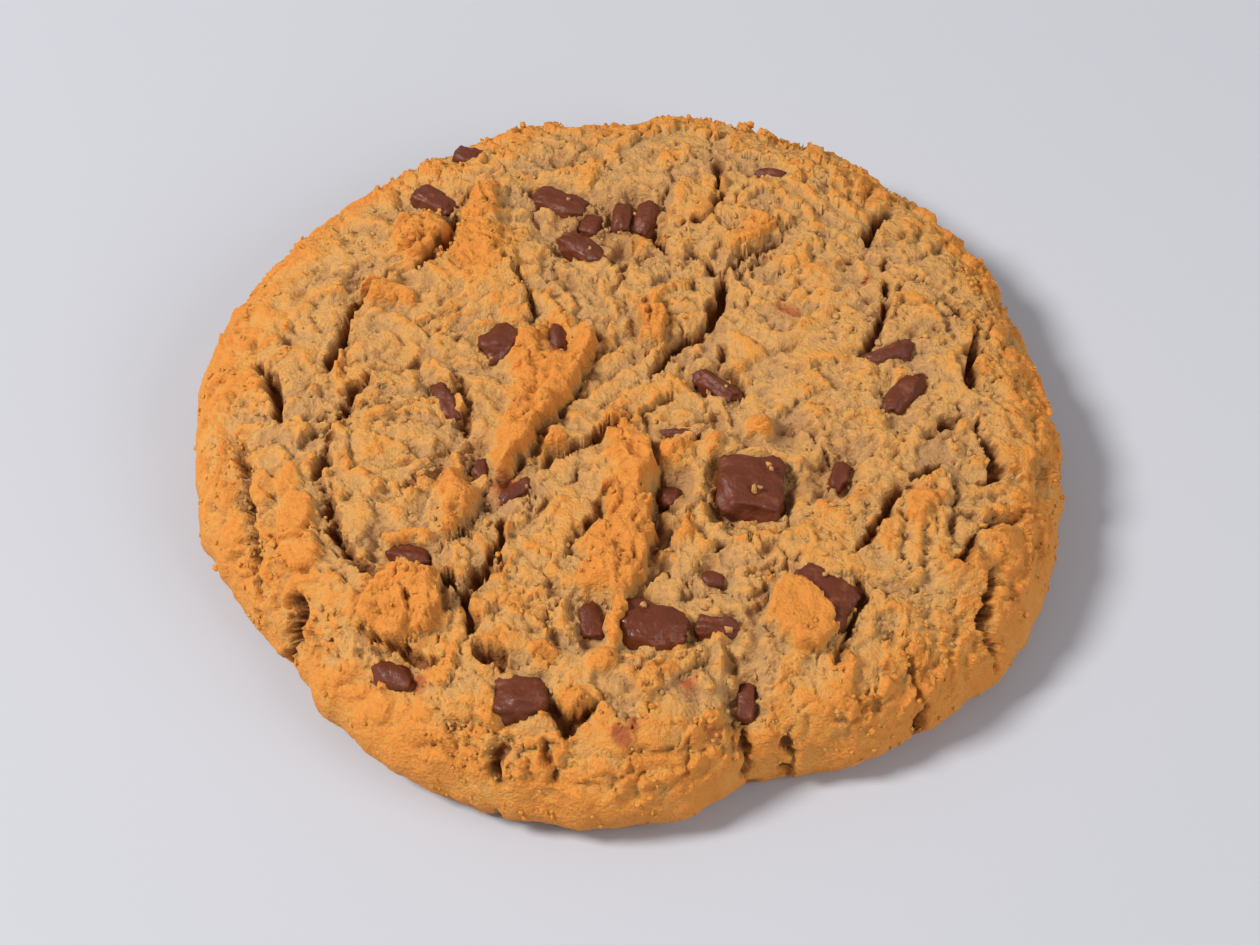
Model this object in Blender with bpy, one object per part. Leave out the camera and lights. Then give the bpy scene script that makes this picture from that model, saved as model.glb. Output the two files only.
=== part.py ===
"""A large soft-baked cookie with chocolate chunks, resting on its flat base.

The dough is one solid: a low dome with a round shoulder, bent over a ragged rim outline, and broken on
top by cracks, layers of torn skin, raised flakes, dimples and crumbs. Chunks of about 5 mm and more are
solids of their own, each set in a pocket of the dough, and the smaller chips are fused to it.
Plan places are in millimetres from the cookie's middle, +X to the right and +Y away from the viewer.
"""

import math

import bmesh
import bpy
import numpy as np
from mathutils import Euler, Matrix, Vector, noise

MM = 0.001

# The dome: its rim, its shoulder and the curled foot under it.
RIM_RADIUS = 48.8
THICKNESS = 14.8
WIDEST_HEIGHT = 4.0
SHOULDER_POWER = 8.2
FOOT_TUCK = 0.05
FOOT_GROOVE_HEIGHT = 2.0
FOOT_GROOVE_TALL = 0.45
FOOT_GROOVE_DEEP = 0.7
FLAT_BELOW = 0.12

# Swells and dents of the rim: direction in degrees, half width in degrees, how far it stands out.
RIM_SWELLS = (
    (14, 12, -0.9),
    (75, 9, 1.1),
    (91, 7, -1.6),
    (128, 14, -0.7),
    (172, 16, 0.6),
    (216, 13, -1.8),
    (253, 16, 0.8),
    (287, 8, -3.0),
    (301, 10, -1.0),
    (325, 14, 0.9),
)
RIM_RAGGED = 0.45

# The mesh: a square grid of cells bent to a disc, then thinned where the dough is plain.
GRID_CELLS = 170
DOUGH_TRIANGLES = 8600

# Unevenness of the dough: how wide its lumps are and how far they stand.
LUMPS = ((17.0, 0.55), (7.0, 0.42), (3.2, 0.30))
CRACK_WANDER = ((4.0, 0.8), (1.6, 0.5))

# Overlapping layers of torn skin: how wide they are, how many overlap, how high their edges stand.
LAYER_SIZE = 14.0
LAYER_OVERLAPS = 3.2
LAYER_HEIGHT = 1.0
LAYER_EDGE = 0.25

# Cracks in the top: width, depth, how far its left side stands up, and the route it follows.
CRACKS = (
    (1.5, 2.6, 0.3, ((-29, 16), (-31.5, 11.5), (-32.8, 6), (-34, 3.5))),
    (1.3, 2.4, 0.4, ((-20.2, 28), (-20.6, 22), (-23, 18.6), (-27, 17.6), (-29, 16))),
    (1.3, 2.3, 0.3, ((-28.8, 3), (-30.2, 0), (-32, -4), (-35, -5.6))),
    (1.4, 2.4, 0.0, ((-42.5, 8), (-40.8, 4), (-39.4, 0), (-38.3, -4))),
    (1.5, 2.6, 0.5, ((-43.5, -4.5), (-42.4, -10), (-41, -17), (-39.6, -24))),
    (1.4, 2.6, 0.8, ((-32.5, -6), (-33.8, -12), (-31.5, -19), (-28.5, -23.5), (-26, -24.3))),
    (1.0, 1.6, 0.0, ((-28.5, 4), (-25.5, 3.2), (-23.5, 4.8))),
    (1.2, 1.6, 0.0, ((-20, 5), (-18, 1.5), (-17.8, -6), (-17, -12))),
    (0.9, 1.5, -0.8, ((-13, 20), (-11.5, 13), (-11, 9.5))),
    (1.5, 2.8, 0.5, ((2.5, 2.5), (4.5, 6.5), (8.3, 8), (10.3, 14), (10.5, 17.5), (7.5, 20.5))),
    (1.0, 1.6, 0.3, ((10.5, 17.5), (12.5, 20.3), (18, 22.5))),
    (1.3, 2.2, 0.3, ((10.8, 36.5), (11, 30), (9, 27), (5.5, 25.3))),
    (1.0, 1.6, 0.0, ((3.2, 26), (2.7, 23.5), (3.5, 21), (1, 20))),
    (1.6, 2.8, 0.4, ((31, 29.5), (28.5, 26.5), (27.4, 22.5))),
    (1.2, 2.2, 0.3, ((29.6, 21.5), (29, 14), (27.3, 8.5), (25.4, 4.6))),
    (1.1, 1.7, 0.0, ((9.8, 6), (11.8, 2), (12, -0.5))),
    (1.7, 2.8, 0.4, ((36, 15), (39.2, 11.5), (39, 6.5), (37.5, 0.5))),
    (1.2, 1.8, 0.0, ((35.5, -1.5), (36.2, -3.5), (32, -6.5))),
    (1.3, 2.2, 0.2, ((37.8, -3.5), (40, -10), (37.8, -12))),
    (1.2, 1.9, 0.5, ((-10, -9.8), (-5, -7.5), (-1.5, -4.5), (4.5, -0.5))),
    (1.0, 1.2, -0.5, ((-1.8, -13.5), (-4.5, -18.5), (-6.5, -22))),
    (2.1, 3.2, 0.5, ((-13.6, -17.5), (-14.2, -23), (-17.2, -26.5), (-16.3, -33))),
    (1.2, 2.0, 0.0, ((-22, -22.3), (-19.8, -24.8), (-17.2, -26.5))),
    (1.4, 2.4, 0.6, ((34, -9), (31, -11.6), (28, -15.5), (26, -19), (23, -22.8))),
    (1.2, 2.0, 0.4, ((23.5, -25), (25, -28), (22.2, -33), (21.7, -34.8))),
    (1.4, 2.4, 0.5, ((43.8, -14.2), (38, -18), (35.5, -21.8), (32.8, -24))),
    (1.2, 2.2, 0.2, ((38.5, -22), (38, -28), (39, -31))),
    (1.0, 1.6, 0.0, ((35, -11.5), (34.7, -16), (34.8, -19.3))),
    (1.1, 2.0, 0.6, ((-29.3, -29.7), (-25.5, -32.4), (-20.2, -35.4))),
    (1.7, 2.2, 0.0, ((-35.5, -24.5), (-36, -28), (-38.2, -31.5))),
    (1.5, 2.6, 0.4, ((-16.2, -33.5), (-12.8, -36.6))),
    (1.6, 2.6, 0.3, ((-9, -39.7), (-6.3, -42.6), (-3, -39.8))),
    (1.6, 1.8, 0.0, ((-13.5, -43.4), (-14.0, -45.4), (-13.0, -47.2))),
    (1.1, 1.2, 0.0, ((-8.6, -44), (-8.6, -46.0), (-7.8, -47.4))),
    (1.1, 1.5, 0.0, ((14.3, -39.7), (12.3, -42.4), (12.4, -44.8))),
    (1.0, 1.3, 0.0, ((17, -40), (16.8, -42.3), (17.2, -43.8))),
    (1.4, 1.7, 0.0, ((30, -34), (30.6, -37), (31.4, -38.8))),
)
CRACK_LIP = 0.22
CRACK_WALL = 0.9
CRACK_NARROWS = (2.6, 0.7)

# Raised flakes and ridges: width at the start and the end, height, which side drops steeply (1 the left,
# -1 the right, 0 both), and the route of the middle line.
FLAKES = (
    (7.0, 3.0, 2.6, 1, ((-7.4, 6.2), (-9.4, 1), (-11.4, -5), (-13.8, -10.6))),
    (4.8, 1.8, 1.8, 1, ((-18.2, -12.6), (-18.6, -19.2))),
    (6.0, 8.6, 1.4, 0, ((-23.4, -24.6), (-24.2, -29))),
    (3.4, 1.8, 1.2, 1, ((-29, 14.9), (-25.2, 13.3))),
    (4.2, 4.6, 1.3, -1, ((-17.2, 28.5), (-17.6, 20.5))),
    (1.8, 2.0, 1.3, 0, ((2.6, 12), (2.3, 7.5))),
    (4.0, 6.4, 1.9, 1, ((-0.4, -5), (0.6, -13), (-0.4, -20), (-1.6, -25))),
    (2.4, 1.4, 1.0, -1, ((8.4, -16.6), (3.8, -21.8))),
    (5.0, 4.0, 0.9, 0, ((-36.4, -12), (-35.4, -21))),
    (3.0, 3.0, 0.8, 0, ((6.0, -34.5), (2.2, -38.0))),
    (4.0, 3.0, 0.8, 0, ((12.6, 22.5), (17.5, 26.5))),
    (3.4, 2.6, 0.9, -1, ((33.0, -12.5), (31.0, -17.0))),
)
FLAKE_EDGE = 0.9

# Dough that laps over a chunk: width, height over the plain dome, and the route of the middle line.
LAPS = (
    (6.2, 1.9, ((18.4, -30.8), (17.7, -28.9))),
    (1.4, 2.2, ((-2.0, -25.4), (-1.0, -28.2), (-1.6, -31.2), (-1.7, -34.2))),
    (1.6, 0.9, ((-21.6, -20.2), (-25.5, -19.9))),
    (2.8, 1.6, ((-12.0, 4.4), (-11.0, 7.0))),
)
LAP_EDGE = 0.7

# Hollows: plan place, half widths, depth.
DIMPLES = (
    (-2.6, 25.5, 6.6, 5.2, 2.2),
    (-26, 5, 2.4, 2.0, 0.8),
    (-8, 36, 3.0, 1.8, 1.0),
    (4.2, -13, 2.0, 2.4, 2.2),
    (3.6, -20, 1.6, 5.0, 1.5),
    (-20.6, -10.5, 1.6, 3.0, 1.6),
    (21.8, -11, 2.6, 2.6, 1.8),
    (9, -3.8, 2.4, 1.2, 1.5),
    (12, -38, 1.6, 2.8, 2.0),
    (17.5, -5.5, 2.2, 2.6, 0.9),
    (18.5, -13, 2.0, 2.6, 1.0),
    (13.2, -29.5, 1.6, 1.8, 0.9),
    (-34.5, -5.7, 1.6, 1.4, 1.0),
    (45.2, -8, 1.4, 2.2, 1.2),
)

# Rounded crumbs of dough that lie on the top: plan place, radius.
CRUMBS = (
    (5, -8.5, 2.2),
    (8.5, -7.5, 1.7),
    (14, -5.5, 1.8),
    (-8, -7.5, 1.3),
    (-2, 23.5, 1.4),
    (1.2, 22.5, 1.8),
    (-3, -35.6, 1.8),
    (-9, -35.2, 1.7),
    (-5.8, -40.4, 1.6),
    (-24, 23, 3.6),
)
CRUMB_STANDS = 0.75

# Chunks and chips, which the dough is settled round: plan place, length, width and height, heading in
# degrees, tilts along and across, how high the dough lies round it over the plain dome, how far the top
# stands over that dough, and how square its form is, from 2 for an egg to 9 for a brick.
CHUNKS = {
    "chunk_square_middle": ((13.0, -13.6), (7.2, 7.2, 5.6), -4, (-9, 3), -0.4, 1.9, 9.0),
    "chunk_square_front": ((19.8, -28.0), (7.2, 6.4, 5.0), -27, (-8, 4), -0.3, 1.2, 8.0),
    "chunk_melted_front": ((2.2, -31.6), (7.8, 5.4, 4.6), -14, (-10, 3), -0.6, 1.7, 5.0),
    "chunk_slab_front": ((9.1, -31.4), (4.6, 2.4, 3.0), -10, (-12, 0), -0.6, 0.8, 5.0),
    "chunk_front_left": ((-11.5, -39.3), (5.8, 4.4, 4.2), 12, (-18, 4), -0.7, 1.3, 4.5),
    "chunk_crevice": ((-23.8, -21.6), (5.0, 2.6, 3.0), -12, (-14, 0), -1.1, 0.6, 4.0),
    "chunk_left_slit": ((-20.3, -0.5), (6.4, 2.3, 3.0), -70, (8, 0), -0.9, 0.7, 3.5),
    "chunk_left_middle": ((-14.2, 7.0), (5.4, 4.4, 4.2), 38, (-14, 8), -0.8, 1.5, 4.5),
    "chunk_back_left": ((-22.8, 29.6), (5.6, 3.1, 3.2), -33, (-10, 0), -0.8, 1.0, 4.5),
    "chunk_back_long": ((-8.2, 29.3), (6.4, 3.6, 3.2), -22, (-10, 4), -1.6, 1.2, 4.0),
    "chunk_back_low": ((-5.5, 22.1), (6.4, 3.4, 3.4), -38, (-12, 0), -1.6, 1.2, 4.0),
    "chunk_centre_right": ((9.6, 1.3), (5.8, 2.5, 2.8), -38, (-10, 0), -0.7, 0.8, 4.0),
    "chunk_right_upper": ((29.1, 5.8), (5.8, 2.8, 3.0), 26, (-12, 0), -0.7, 0.9, 4.0),
    "chunk_right_lower": ((30.3, 0.3), (7.4, 3.1, 3.2), 53, (-12, 0), -0.9, 1.2, 4.0),
}
CHIPS = (
    ((-19.0, 38.8), (4.0, 3.2, 3.0), -22, (-12, 0), -0.8, 0.8, 4.0),
    ((-0.9, 27.4), (4.4, 2.4, 3.0), 82, (4, 6), -1.9, 1.2, 4.0),
    ((1.9, 27.2), (4.8, 2.5, 3.0), 78, (-4, -6), -1.9, 1.4, 4.0),
    ((-4.4, 26.4), (3.6, 2.8, 2.6), 70, (0, 8), -2.2, 1.0, 3.6),
    ((-8.0, 8.2), (3.6, 2.4, 3.0), 84, (0, -10), -0.6, 0.8, 3.4),
    ((16.8, 34.3), (4.4, 1.6, 2.4), -10, (-10, 0), -0.7, 0.3, 3.0),
    ((22.6, -11.0), (4.0, 2.0, 3.0), 72, (12, 0), -1.7, 1.2, 4.0),
    ((8.6, -25.0), (2.8, 2.4, 2.8), 10, (-10, 0), -1.0, 0.6, 3.4),
    ((-4.0, -30.6), (4.6, 2.8, 3.0), 100, (8, 0), -0.8, 1.0, 3.4),
    ((-24.8, -35.8), (4.4, 2.8, 3.0), -22, (-22, 0), -0.8, 0.8, 3.6),
    ((12.0, -38.0), (4.2, 2.0, 3.0), 88, (0, -10), -2.4, 0.5, 4.0),
    ((4.2, -12.9), (3.0, 2.4, 2.6), 60, (0, 0), -2.4, 0.6, 3.4),
    ((5.6, -5.6), (5.6, 1.3, 2.0), -6, (-12, 0), -0.6, 0.3, 3.0),
    ((-16.2, -10.2), (3.2, 1.9, 2.4), 70, (0, 0), -1.2, 0.5, 3.2),
    ((-12.2, -12.9), (5.4, 1.6, 2.2), 42, (0, 0), -1.2, 0.5, 3.2),
)
COLLAR_REACH = 2.2
POCKET_GAP = 0.3

# A broken block: how finely it is divided, how many facets, where they cut it, and its unevenness.
CHUNK_CUTS = 2
CHIP_CUTS = 1
FIRST_CHIP_SEED = 20
FACETS = 5
FACET_SHARE = (0.68, 0.92)
FACET_FLATNESS = 0.85
BLOCK_LUMP = 0.7
BLOCK_LUMP_REACH = 0.08

DOUGH_COLOUR = (0.52, 0.27, 0.10, 1.0)
CHOCOLATE_COLOUR = (0.095, 0.030, 0.018, 1.0)


def clear_scene():
    for old in list(bpy.data.objects):
        bpy.data.objects.remove(old)


def material(name, colour, roughness):
    made = bpy.data.materials.new(name)
    made.use_nodes = True
    shader = made.node_tree.nodes["Principled BSDF"]
    shader.inputs["Base Color"].default_value = colour
    shader.inputs["Roughness"].default_value = roughness
    shader.inputs["Metallic"].default_value = 0.0
    made.diffuse_color = colour
    return made


def ripple(points, size, seed):
    """Smooth unevenness between about -1 and 1 at each point, with lumps about size across."""
    placed = points / size + (seed * 7.31, seed * 3.17, seed * 5.73)
    return np.fromiter(map(noise.noise, map(Vector, placed.tolist())), float, len(points))


def smooth_step(value):
    """0 below 0, 1 above 1, and an even S between them."""
    share = np.clip(value, 0.0, 1.0)
    return share * share * (3.0 - 2.0 * share)


def rim_radius(angle):
    """Radius of the rim in each direction, in radians."""
    radius = np.full_like(angle, RIM_RADIUS)
    for direction, half_width, stands_out in RIM_SWELLS:
        away = np.degrees(angle) - direction
        away = (away + 180.0) % 360.0 - 180.0
        radius += stands_out * np.exp(-((away / half_width) ** 2))
    around = np.column_stack((np.cos(angle), np.sin(angle), np.zeros_like(angle)))
    radius += RIM_RAGGED * ripple(around * RIM_RADIUS, 6.0, 1)
    radius += RIM_RAGGED * ripple(around * RIM_RADIUS, 2.4, 2)
    return radius


def dome_profile(samples=400):
    """The dome's section, from the middle of the top over the shoulder to the edge of the base.

    Returns the share of the way along it, the share of the rim's radius, and the height."""
    share = np.sin(np.linspace(0.0, math.pi / 2, samples))
    over = THICKNESS - WIDEST_HEIGHT
    top = WIDEST_HEIGHT + over * np.sqrt(1.0 - share**SHOULDER_POWER)
    down = np.linspace(0.0, 1.0, samples)[1:]
    low = WIDEST_HEIGHT * (1.0 - down)
    tuck = 1.0 - FOOT_TUCK * down**2
    groove = np.exp(-(((low - FOOT_GROOVE_HEIGHT) / FOOT_GROOVE_TALL) ** 2))
    tuck -= FOOT_GROOVE_DEEP / RIM_RADIUS * groove
    shares = np.concatenate((share, tuck))
    heights = np.concatenate((top, low))
    steps = np.hypot(np.diff(shares * RIM_RADIUS), np.diff(heights))
    way = np.concatenate(((0.0,), np.cumsum(steps)))
    return way / way[-1], shares, heights


def along_route(x, y, route):
    """Distance of each place from the route, its side (+ to the left), and its share of the way along."""
    corners = np.array(route, float)
    runs = np.hypot(*np.diff(corners, axis=0).T)
    walked = np.concatenate(((0.0,), np.cumsum(runs)))
    nearest = np.full_like(x, np.inf)
    side = np.ones_like(x)
    share = np.zeros_like(x)
    for start, end, before, run in zip(corners, corners[1:], walked, runs, strict=False):
        dx, dy = (end - start) / run
        forward = (x - start[0]) * dx + (y - start[1]) * dy
        leftward = (y - start[1]) * dx - (x - start[0]) * dy
        reached = np.clip(forward, 0.0, run)
        away = np.hypot(forward - reached, leftward)
        closer = away < nearest
        nearest = np.where(closer, away, nearest)
        side = np.where(closer, np.sign(leftward), side)
        share = np.where(closer, (before + reached) / walked[-1], share)
    return nearest, side, share


def crack_relief(x, y, narrows):
    """Cracks with steep walls, a low lip on each side, and one side standing higher."""
    relief = np.zeros_like(x)
    deepest = np.zeros_like(x)
    for width, depth, step, route in CRACKS:
        away, side, share = along_route(x, y, route)
        taper = 0.45 + 0.55 * np.sin(math.pi * np.clip(share, 0.0, 1.0)) ** 0.7
        half = 0.5 * width * taper * narrows
        gap = smooth_step((half - away) / CRACK_WALL + 0.5)
        shoulder = 0.25 * np.exp(-((away / (2.2 * half)) ** 2))
        deepest = np.maximum(deepest, depth * taper * (gap + shoulder))
        relief += CRACK_LIP * np.exp(-(((away - 2.4 * half) / (1.2 * half)) ** 2))
        relief += step * side * taper * np.tanh(away / half) * np.exp(-away / 3.5)
    return relief - deepest


def flake_relief(x, y):
    """Raised flakes that widen or narrow along their routes, steep on one side or on both."""
    relief = np.zeros_like(x)
    for first_width, last_width, height, steep_side, route in FLAKES:
        away, side, share = along_route(x, y, route)
        half = 0.5 * (first_width + (last_width - first_width) * share)
        steep = smooth_step((half - away) / FLAKE_EDGE + 0.5)
        sloping = smooth_step((1.6 * half - away) / half)
        relief = np.maximum(relief, height * np.where(side * steep_side < 0.0, sloping, steep))
    return relief


def lap_relief(x, y, relief):
    """The relief with the laps of dough laid over it."""
    for width, height, route in LAPS:
        away, _, _ = along_route(x, y, route)
        inside = smooth_step((0.5 * width - away) / LAP_EDGE + 0.5)
        relief = np.where(inside > 0.0, np.maximum(relief, height - 3.0 * (1.0 - inside)), relief)
    return relief


def hollow_relief(x, y):
    relief = np.zeros_like(x)
    for centre_x, centre_y, half_x, half_y, depth in DIMPLES:
        share = np.hypot((x - centre_x) / half_x, (y - centre_y) / half_y)
        relief -= depth * smooth_step(1.3 - share)
    return relief


def crumb_relief(x, y):
    relief = np.zeros_like(x)
    for centre_x, centre_y, radius in CRUMBS:
        away = np.hypot(x - centre_x, y - centre_y)
        cap = np.sqrt(np.clip(radius**2 - away**2, 0.0, None))
        relief = np.maximum(relief, CRUMB_STANDS * cap)
    return relief


def torn_layers(points):
    """Layers of skin that overlap like shingles: each slopes down to the torn edge of the next."""
    wide = ripple(points, LAYER_SIZE, 61)
    narrow = ripple(points, 0.4 * LAYER_SIZE, 66)
    rise = LAYER_OVERLAPS * (wide + 0.35 * narrow)
    along = rise - np.floor(rise)
    return LAYER_HEIGHT * (smooth_step(along / LAYER_EDGE) - along - 0.5)


def footprint_distance(x, y, row):
    """About how far each place is from a chunk's rounded footprint, less than 0 inside it."""
    place, size, heading = row[:3]
    squareness = row[-1]
    turn = math.radians(heading)
    along = (x - place[0]) * math.cos(turn) + (y - place[1]) * math.sin(turn)
    across = (y - place[1]) * math.cos(turn) - (x - place[0]) * math.sin(turn)
    share = np.abs(2.0 * along / size[0]) ** squareness + np.abs(2.0 * across / size[1]) ** squareness
    return (share ** (1.0 / squareness) - 1.0) * 0.5 * min(size[:2])


def settle_round_chunks(x, y, relief):
    """The relief eased to the height at which the dough lies round each chunk."""
    for row in (*CHUNKS.values(), *CHIPS):
        eased = smooth_step(1.0 - footprint_distance(x, y, row) / COLLAR_REACH)
        relief = relief + eased * (row[4] - relief)
    return relief


def dough_relief(points):
    """How far the baked surface stands out from the plain dome at each point."""
    plan_x, plan_y = points[:, 0], points[:, 1]
    x, y = plan_x.copy(), plan_y.copy()
    for seed, (size, reach) in enumerate(CRACK_WANDER, start=11):
        x += reach * ripple(points, size, seed)
        y += reach * ripple(points, size, seed + 20)
    relief = flake_relief(x, y) + hollow_relief(x, y) + crumb_relief(plan_x, plan_y)
    relief += smooth_step((points[:, 2] - 5.0) / 6.0) * torn_layers(points)
    for seed, (size, height) in enumerate(LUMPS, start=3):
        relief += height * ripple(points, size, seed)
    relief = settle_round_chunks(plan_x, plan_y, relief)
    size, reach = CRACK_NARROWS
    narrows = np.clip(0.75 + reach * ripple(points, size, 17), 0.4, 1.3)
    return lap_relief(x, y, relief + crack_relief(x, y, narrows))


def disc_from_square(a, b):
    """A square's places carried to a disc, each square ring to a round one: share of the radius, angle."""
    wide = np.abs(a) > np.abs(b)
    safe_a = np.where(wide, a, 1.0)
    safe_b = np.where(wide, 1.0, np.where(b == 0.0, 1.0, b))
    radius = np.where(wide, a, b)
    angle = np.where(wide, math.pi / 4 * b / safe_a, math.pi / 2 - math.pi / 4 * a / safe_b)
    return np.abs(radius), np.where(radius < 0.0, angle + math.pi, angle)


def dome_places(share, angle):
    """The baked surface at each share of the way from the middle to the base, and each angle."""
    way, shares, heights = dome_profile()
    out_step = np.gradient(shares * RIM_RADIUS)
    up_step = np.gradient(heights)
    step = np.hypot(out_step, up_step)
    outward = np.interp(share, way, -up_step / step)
    upward = np.interp(share, way, out_step / step)
    radius = np.interp(share, way, shares) * rim_radius(angle)
    height = np.interp(share, way, heights)
    direction = np.column_stack((np.cos(angle), np.sin(angle)))
    plain = np.column_stack((direction * radius[:, None], height))
    normal = np.column_stack((direction * outward[:, None], upward))
    free = smooth_step(height / WIDEST_HEIGHT)
    return plain + normal * (free * dough_relief(plain))[:, None]


def surface_height(x, y):
    """Height of the dough's plain dome over a plan place."""
    angle = math.atan2(y, x)
    share = math.hypot(x, y) / rim_radius(np.array([angle]))[0]
    over = THICKNESS - WIDEST_HEIGHT
    return WIDEST_HEIGHT + over * math.sqrt(max(0.0, 1.0 - share**SHOULDER_POWER))


def add_object(name, mesh, finish):
    made = bpy.data.objects.new(name, mesh)
    bpy.context.scene.collection.objects.link(made)
    mesh.materials.append(finish)
    return made


def dough_mesh():
    """The whole dough before the chunks' pockets: top and side from one grid, closed by the flat base."""
    shape = bmesh.new()
    bmesh.ops.create_grid(shape, x_segments=GRID_CELLS, y_segments=GRID_CELLS, size=1.0)
    flat = np.array([vertex.co[:2] for vertex in shape.verts])
    places = dome_places(*disc_from_square(flat[:, 0], flat[:, 1])) * MM
    for vertex, place in zip(shape.verts, places, strict=True):
        vertex.co = place
    edge = [found for found in shape.edges if found.is_boundary]
    for rim_edge in edge:
        for vertex in rim_edge.verts:
            vertex.co.z = 0.0
    bmesh.ops.holes_fill(shape, edges=edge, sides=0)
    bmesh.ops.recalc_face_normals(shape, faces=shape.faces)
    bmesh.ops.triangulate(shape, faces=shape.faces)
    mesh = bpy.data.meshes.new("dough")
    shape.to_mesh(mesh)
    shape.free()
    return mesh


def broken_form(corners, squareness, seed):
    """A cube's corners carried to a rounded block with a few broken facets and an uneven skin."""
    rounding = (np.abs(corners) ** squareness).sum(axis=1) ** (-1.0 / squareness)
    form = corners * rounding[:, None]
    chance = np.random.default_rng(seed)
    for _ in range(FACETS):
        facing = chance.normal(size=3)
        facing /= np.linalg.norm(facing)
        out = form @ facing
        past = np.clip(out - chance.uniform(*FACET_SHARE) * out.max(), 0.0, None)
        form = form - FACET_FLATNESS * past[:, None] * facing
    uneven = ripple(form, BLOCK_LUMP, seed)
    return form * (1.0 + BLOCK_LUMP_REACH * uneven)[:, None]


def block_mesh(name, size, squareness, seed, cuts):
    """A chunk of chocolate: a divided cube, rounded and broken, at its own size."""
    shape = bmesh.new()
    bmesh.ops.create_cube(shape, size=2.0)
    bmesh.ops.subdivide_edges(shape, edges=shape.edges[:], cuts=cuts, use_grid_fill=True)
    corners = np.array([vertex.co for vertex in shape.verts])
    form = broken_form(corners, squareness, seed) * 0.5 * np.array(size) * MM
    for vertex, place in zip(shape.verts, form, strict=True):
        vertex.co = place
    mesh = bpy.data.meshes.new(name)
    shape.to_mesh(mesh)
    shape.free()
    return mesh


def chunk_placing(place, size, heading, tilts, bed, stands):
    """Where a chunk lies: its top stands out of the dough round it by the given height."""
    turn = Euler((math.radians(tilts[0]), math.radians(tilts[1]), math.radians(heading)))
    height = surface_height(*place) + bed + stands - 0.5 * size[2]
    at = Vector((place[0], place[1], height)) * MM
    return Matrix.Translation(at) @ turn.to_matrix().to_4x4()


def place_block(name, row, seed, cuts, finish, grow=0.0):
    *placing, squareness = row
    grown = tuple(side + 2.0 * grow for side in row[1])
    made = add_object(name, block_mesh(name, grown, squareness, seed, cuts), finish)
    made.matrix_world = chunk_placing(*placing)
    return made


def apply_modifiers(made):
    """Keeps the shape that the object's modifiers give, and drops the modifiers."""
    graph = bpy.context.evaluated_depsgraph_get()
    finished = bpy.data.meshes.new_from_object(made.evaluated_get(graph))
    made.modifiers.clear()
    made.data = finished


def join_or_cut(body, blocks, operation):
    """One Boolean of the body with all the blocks, applied, with the blocks then removed."""
    group = bpy.data.collections.new(operation.lower())
    bpy.context.scene.collection.children.link(group)
    for block in blocks:
        group.objects.link(block)
        block.hide_render = True
        block.display_type = "WIRE"
    modifier = body.modifiers.new(operation.lower(), "BOOLEAN")
    modifier.operation = operation
    modifier.operand_type = "COLLECTION"
    modifier.collection = group
    modifier.solver = "EXACT"
    apply_modifiers(body)
    for block in blocks:
        bpy.data.objects.remove(block)
    bpy.data.collections.remove(group)


def keep_largest_body(mesh):
    """Drops the loose scraps and the sealed hollows that cutting leaves."""
    shape = bmesh.new()
    shape.from_mesh(mesh)
    left = set(shape.faces)
    bodies = []
    while left:
        body, edge = [], [left.pop()]
        while edge:
            face = edge.pop()
            body.append(face)
            for border in face.edges:
                for other in border.link_faces:
                    if other in left:
                        left.remove(other)
                        edge.append(other)
        bodies.append(body)
    bodies.sort(key=len)
    scraps = [face for body in bodies[:-1] for face in body]
    bmesh.ops.delete(shape, geom=scraps, context="FACES")
    shape.to_mesh(mesh)
    shape.free()


def make_dough(dough_finish):
    dough = add_object("dough", dough_mesh(), dough_finish)
    thinning = dough.modifiers.new("thinning", "DECIMATE")
    thinning.ratio = DOUGH_TRIANGLES / len(dough.data.polygons)
    apply_modifiers(dough)
    for vertex in dough.data.vertices:
        if vertex.co.z < FLAT_BELOW * MM:
            vertex.co.z = 0.0
    chips = [
        place_block(f"chip_{seed}", row, seed, CHIP_CUTS, dough_finish)
        for seed, row in enumerate(CHIPS, start=FIRST_CHIP_SEED)
    ]
    join_or_cut(dough, chips, "UNION")
    pockets = [
        place_block(f"pocket_{name}", row, seed, CHUNK_CUTS, dough_finish, POCKET_GAP)
        for seed, (name, row) in enumerate(CHUNKS.items())
    ]
    join_or_cut(dough, pockets, "DIFFERENCE")
    keep_largest_body(dough.data)
    dough.data.shade_smooth()
    dough.data.set_sharp_from_angle(angle=math.radians(40))
    return dough


clear_scene()
DOUGH_FINISH = material("baked dough", DOUGH_COLOUR, 0.85)
CHOCOLATE_FINISH = material("chocolate", CHOCOLATE_COLOUR, 0.4)
make_dough(DOUGH_FINISH)
for chunk_seed, (chunk_name, chunk_row) in enumerate(CHUNKS.items()):
    chunk = place_block(chunk_name, chunk_row, chunk_seed, CHUNK_CUTS, CHOCOLATE_FINISH)
    chunk.data.shade_smooth()
    chunk.data.set_sharp_from_angle(angle=math.radians(40))
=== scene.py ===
import math

import bmesh
import bpy
import numpy as np
from mathutils import Euler, Matrix, Vector, noise


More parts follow.
